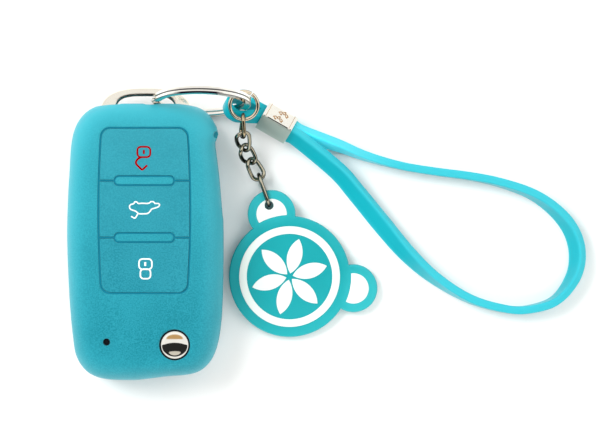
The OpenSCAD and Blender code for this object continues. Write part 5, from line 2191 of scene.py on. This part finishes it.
@dataclass
class Strap:
    """The wrist strap, its eye round the split ring and the metal sleeve."""

    shop: Workshop
    ring: SplitRing
    width: float = 5.5 * MM
    thick: float = 2.2 * MM
    soft: float = 0.5 * MM
    sleeve_l: float = 9.1 * MM
    sleeve_wall: float = 0.5 * MM
    sleeve_turn: float = -29.8
    sleeve_dip: float = 2
    sleeve_roll: float = 51
    sleeve_at: tuple[float, float, float] = (35.774 * MM, 32.65 * MM, 4.3 * MM)
    eye_d: float = 5 * MM
    eye_wall: float = 1.5 * MM
    eye_w: float = 4 * MM
    eye_slack: Pair = (-0.1 * MM, -0.45 * MM)
    slit: float = 0.25 * MM
    fit: float = 0.05 * MM
    lead: float = 3 * MM
    parts: int = 8
    painted_light_reach: float = 1.2 * MM
    corner: float = 0.5 * MM
    end_soft: float = 0.18 * MM
    bow: Pair = (0.25 * MM, 0.4 * MM)
    # How far from the sleeve the painted light and painted glow lift the shaded fork
    painted_fork_fill: float = 32 * MM
    line_w: float = 0.24 * MM
    vines: tuple[Pair, ...] = ((0.5, -1.25), (-0.3, 1.05))
    studs: int = 9
    stud_x: float = 3.6 * MM
    stud_row: Pair = (-2.3 * MM, 2.1 * MM)
    stud_size: Pair = (0.42 * MM, 0.2 * MM)
    dark_w: float = 0.26 * MM
    dark_stud_w: float = 0.3 * MM

    @property
    def axes(self) -> tuple[np.ndarray, np.ndarray, np.ndarray]:
        """Works out the sleeve's own directions.

        Returns:
            Along the sleeve, out of the strap's broad face, and across its width.
        """
        along = heading(self.sleeve_turn, self.sleeve_dip)
        flat = level_across(along)
        roll = radians(self.sleeve_roll)
        face = cos(roll) * np.cross(along, flat) - sin(roll) * flat
        return along, face, np.cross(face, along)

    def to_world(self, local: np.ndarray) -> np.ndarray:
        """Moves points from the sleeve's own frame to their place."""
        along, face, edge = self.axes
        return np.array(self.sleeve_at) + local @ np.array([along, face, edge])

    def eye_spot(self) -> Pair:
        """Finds where the split ring crosses the middle of the strap.

        Returns:
            The place along the sleeve and aside of it.
        """
        along, face, edge = self.axes
        u, v, _ = self.ring.axes
        a = self.ring.radius * np.dot(u, edge)
        b = self.ring.radius * np.dot(v, edge)
        c = np.dot(self.ring.centre - np.array(self.sleeve_at), edge)
        angle = degrees(atan2(b, a) - acos(-c / hypot(a, b)))
        offset = self.ring.point(angle) - np.array(self.sleeve_at)
        return (float(np.dot(offset, along)) + self.eye_slack[0],
                float(np.dot(offset, face)) + self.eye_slack[1])

    def build(self) -> None:
        """Builds the strap, its eye and its sleeve."""
        self.build_strap()
        self.build_eye()
        self.build_sleeve()

    def route(self) -> np.ndarray:
        """Joins the free loop's stops to the sleeve.

        Returns:
            The points of the strap's middle line, each with its roll.
        """
        along, face, _ = self.axes
        end = np.array(self.sleeve_at) + self.sleeve_l / 2 * along
        aside = (self.thick / 2 + self.fit) * face
        first, last = end - aside, end + aside
        stops = [(*first, 180 - self.sleeve_roll), (*(first + self.lead * along), 178 - self.sleeve_roll),
                 *STRAP_ROUTE, (*(last + self.lead * along), self.sleeve_roll - 2), (*last, self.sleeve_roll)]
        return smooth_path(np.array(stops), self.parts)

    def build_strap(self) -> None:
        path = self.route()
        middle = path[:, :3]
        along = np.gradient(middle, axis=0)
        along[0], along[-1] = self.axes[0], -self.axes[0]
        section = finer(soft_section(self.thick, self.width, self.soft), 0.7 * MM)
        rings = []
        for point, tangent, roll in zip(middle, along, np.radians(path[:, 3])):
            t = tangent / np.linalg.norm(tangent)
            flat = level_across(t)
            out = cos(roll) * np.cross(t, flat) + sin(roll) * flat
            wide = np.cross(t, out)
            rings.append([point + p * out + q * wide for p, q in section])
        strap = loft("strap_band", np.array(rings))
        # Painted light: narrow faces lightened as a painted highlight, partly light through the thin edge;
        # the first stretch from the sleeve is lightened over its shade
        steps = np.linalg.norm(np.diff(middle, axis=0), axis=1)
        painted_fork_fill = np.clip(1 - np.concatenate([[0], np.cumsum(steps)]) / self.painted_fork_fill, 0, 1)
        narrow = np.clip(1 + (np.abs(section[:, 1]) - self.width / 2) / self.painted_light_reach, 0, 1) * 0.5
        mark(strap, "rim", np.clip(narrow[None, :] + painted_fork_fill[:, None], 0, 1))
        # Painted glow: near the sleeve the inner broad face, which lies in shade, glows
        inner = np.clip(-6 * section[:, 0] / self.thick - 2, 0, 1)
        mark(strap, "lit", inner[None, :] * painted_fork_fill[:, None])
        self.shop.finish_piece(strap, "strap", "strap_silicone", nodes=["wrist_strap"], angle=50)

    def drop_outline(self, radius: float, half: float, start: float, steps: int = 40) -> np.ndarray:
        """Gives a round end that narrows to a stem, along X.

        Args:
            radius: the round end's radius.
            half: the stem's half width.
            start: where the stem begins.
            steps: how many points the round end has.

        Returns:
            The outline's points.
        """
        x, y = self.eye_spot()
        base = np.array([start, 0.0])
        away = base - np.array([x, y])
        reach, turn = float(np.hypot(*away)), atan2(away[1], away[0])
        open_half = acos(min(0.999, max(-0.999, (radius - half) / reach)))
        arc = np.linspace(turn + open_half, turn + FULL_TURN - open_half, steps)
        round_end = np.column_stack([x + radius * np.cos(arc), y + radius * np.sin(arc)])
        side = -1 if round_end[-1][1] < round_end[0][1] else 1
        return np.vstack([round_end, [[start, side * half], [start, -side * half]]])

    def build_eye(self) -> None:
        """Builds the strap's eye with soft edges."""
        stem, half = -self.sleeve_l / 2, self.width / 2
        layers = []
        edge = self.soft * 0.8
        for a in np.linspace(-90, 90, 13):
            draw = edge * (1 - cos(radians(a)))
            z = (self.eye_w / 2 - edge) * np.sign(a) + edge * sin(radians(a))
            radius = self.eye_d / 2 + self.eye_wall - draw
            layers.append(level(self.drop_outline(radius, self.thick - draw, stem + self.fit), z))
        eye = loft("strap_eye_loop", np.array(layers))
        bore = self.drop_outline(self.eye_d / 2, self.slit / 2, stem - self.thick / 2)
        combine(eye, [prism("eye_bore", bore, -self.width, self.width)])
        combine(eye, [box_between("stem", (stem, -self.thick, -half), (-stem, self.thick, half))], "UNION")
        self.seat(eye)
        self.shop.finish_piece(eye, "strap", "strap_silicone", nodes=["strap_eye"], angle=35)

    def seat(self, obj: Object) -> None:
        """Moves a mesh from the sleeve's frame to its place."""
        move_points(obj, self.to_world(points_of(obj)))
        turn_outwards(obj)

    def sleeve_section(self, draw: float, bow: float) -> np.ndarray:
        """Gives the sleeve's outline across its axis, drawn in, with bowed broad faces.

        Args:
            draw: how far it is drawn in.
            bow: how far its broad faces bow out.

        Returns:
            The outline's points.
        """
        half_y = self.thick + self.sleeve_wall + self.fit - draw
        half_z = self.width / 2 + self.sleeve_wall + self.fit - draw
        return round_rect(2 * half_y, 2 * half_z, max(self.corner - draw, self.corner / 5), bow)

    def build_sleeve(self) -> None:
        """Builds the bright sleeve with bowed faces, rolled ends and a gold ornament."""
        half, soft = self.sleeve_l / 2, self.end_soft
        end = [(soft * (1 - sin(a)), -half + soft * (1 - cos(a)))
               for a in np.linspace(0, pi / 2, 5)]
        middle = [(0.0, x) for x in np.linspace(-0.85, 0.85, 9) * half]
        rings = [upright(self.sleeve_section(draw, self.bow[0] + self.bow[1] * (1 - (x / half) ** 2)), x)
                 for draw, x in end + middle + [(draw, -x) for draw, x in end[::-1]]]
        sleeve = loft("sleeve_body", np.array(rings))
        inner = round_rect(2 * (self.thick + self.fit), self.width + 2 * self.fit, self.fit)
        combine(sleeve, [loft("sleeve_bore", np.array([upright(inner, x) for x in (-half - MM, half + MM)]))])
        top = self.width / 2 + self.sleeve_wall + self.fit - 0.12 * MM
        # The side faces get the satin colour and roughness, duller and greener than the bright top
        mark(sleeve, "satin", np.abs(points_of(sleeve)[:, 2]) < top)
        self.seat(sleeve)
        self.shop.finish_piece(sleeve, "strap", "sleeve_chrome", nodes=["strap_sleeve"], angle=35)
        self.build_ornament()

    def on_edge(self, u: float, v: float) -> tuple[float, float, float]:
        """Gives a point on the sleeve's upper narrow face, along it and across it."""
        return (u, v, self.width / 2 + self.sleeve_wall + self.fit)

    def relief(self, name: str, points: Sequence[Pair], width: float,
               look: str = "gold_relief") -> None:
        """Lays a line on the sleeve's upper face.

        Args:
            name: the piece's name.
            points: the points that the line runs through, in millimetres.
            width: its width.
            look: its finish.
        """
        local = np.array([self.on_edge(u * MM, v * MM) for u, v in smooth_path(np.array(points), 6)])
        line = self.shop.wire[Twist.LEAST].run(
            path_object(name, self.to_world(local)), Width=width, Thickness=width, Sides=8)
        self.shop.finish_piece(line, "strap", look, "sleeve_chrome")

    def build_ornament(self) -> None:
        """Lays two leafy vines, a row of studs near each end and a dark line by the broad face."""
        for row, (shift, across) in enumerate(self.vines):
            vine = [(shift + u, across + v) for u, v in (
                (-1.5, 0.3), (-0.8, -0.25), (0.0, 0.2), (0.8, -0.25), (1.5, 0.3))]
            self.relief(f"vine_{row}", vine, self.line_w)
            for leaf, (u, side) in enumerate(((-0.9, 1), (0.0, -1), (0.9, 1))):
                blade = [(shift + u + p, across + side * q)
                         for p, q in ((-0.35, 0.15), (0.0, 0.65), (0.4, 0.75), (0.25, 0.3))]
                self.relief(f"leaf_{row}_{leaf}", blade, self.line_w)
        for name, u in (("left", -self.stud_x), ("right", self.stud_x)):
            line = self.to_world(np.array([self.on_edge(u, v) for v in self.stud_row]))
            studs = self.shop.row.run(path_object(f"studs_{name}", line), Count=self.studs,
                                      Length=self.stud_size[0], Width=self.stud_size[1])
            self.shop.finish_piece(studs, "strap", "gold_relief", "sleeve_chrome", angle=60)
        across = (self.thick + self.sleeve_wall) / MM - 0.2
        self.relief("dark_line", [(-3.0, across), (0.0, across), (3.3, across)], self.dark_w, "dark_lens")
        for name, u in (("left", -3.9), ("right", 4.1)):
            stud = [(u - 0.12, across), (u + 0.12, across)]
            self.relief(f"dark_stud_{name}", stud, self.dark_stud_w, "dark_lens")


def main() -> None:
    """Builds the whole scene in order."""
    logging.basicConfig(level=logging.INFO, format="%(message)s")
    Studio().build()
    shop = Workshop()
    ring = SplitRing()
    chain = Chain(ring)
    Strap(shop, ring).build()
    CoverShell(shop).build()
    KeyCore(shop).build()
    RingWork(shop, chain).build()
    Charm(shop, chain).build()


if __name__ == "__main__":
    main()
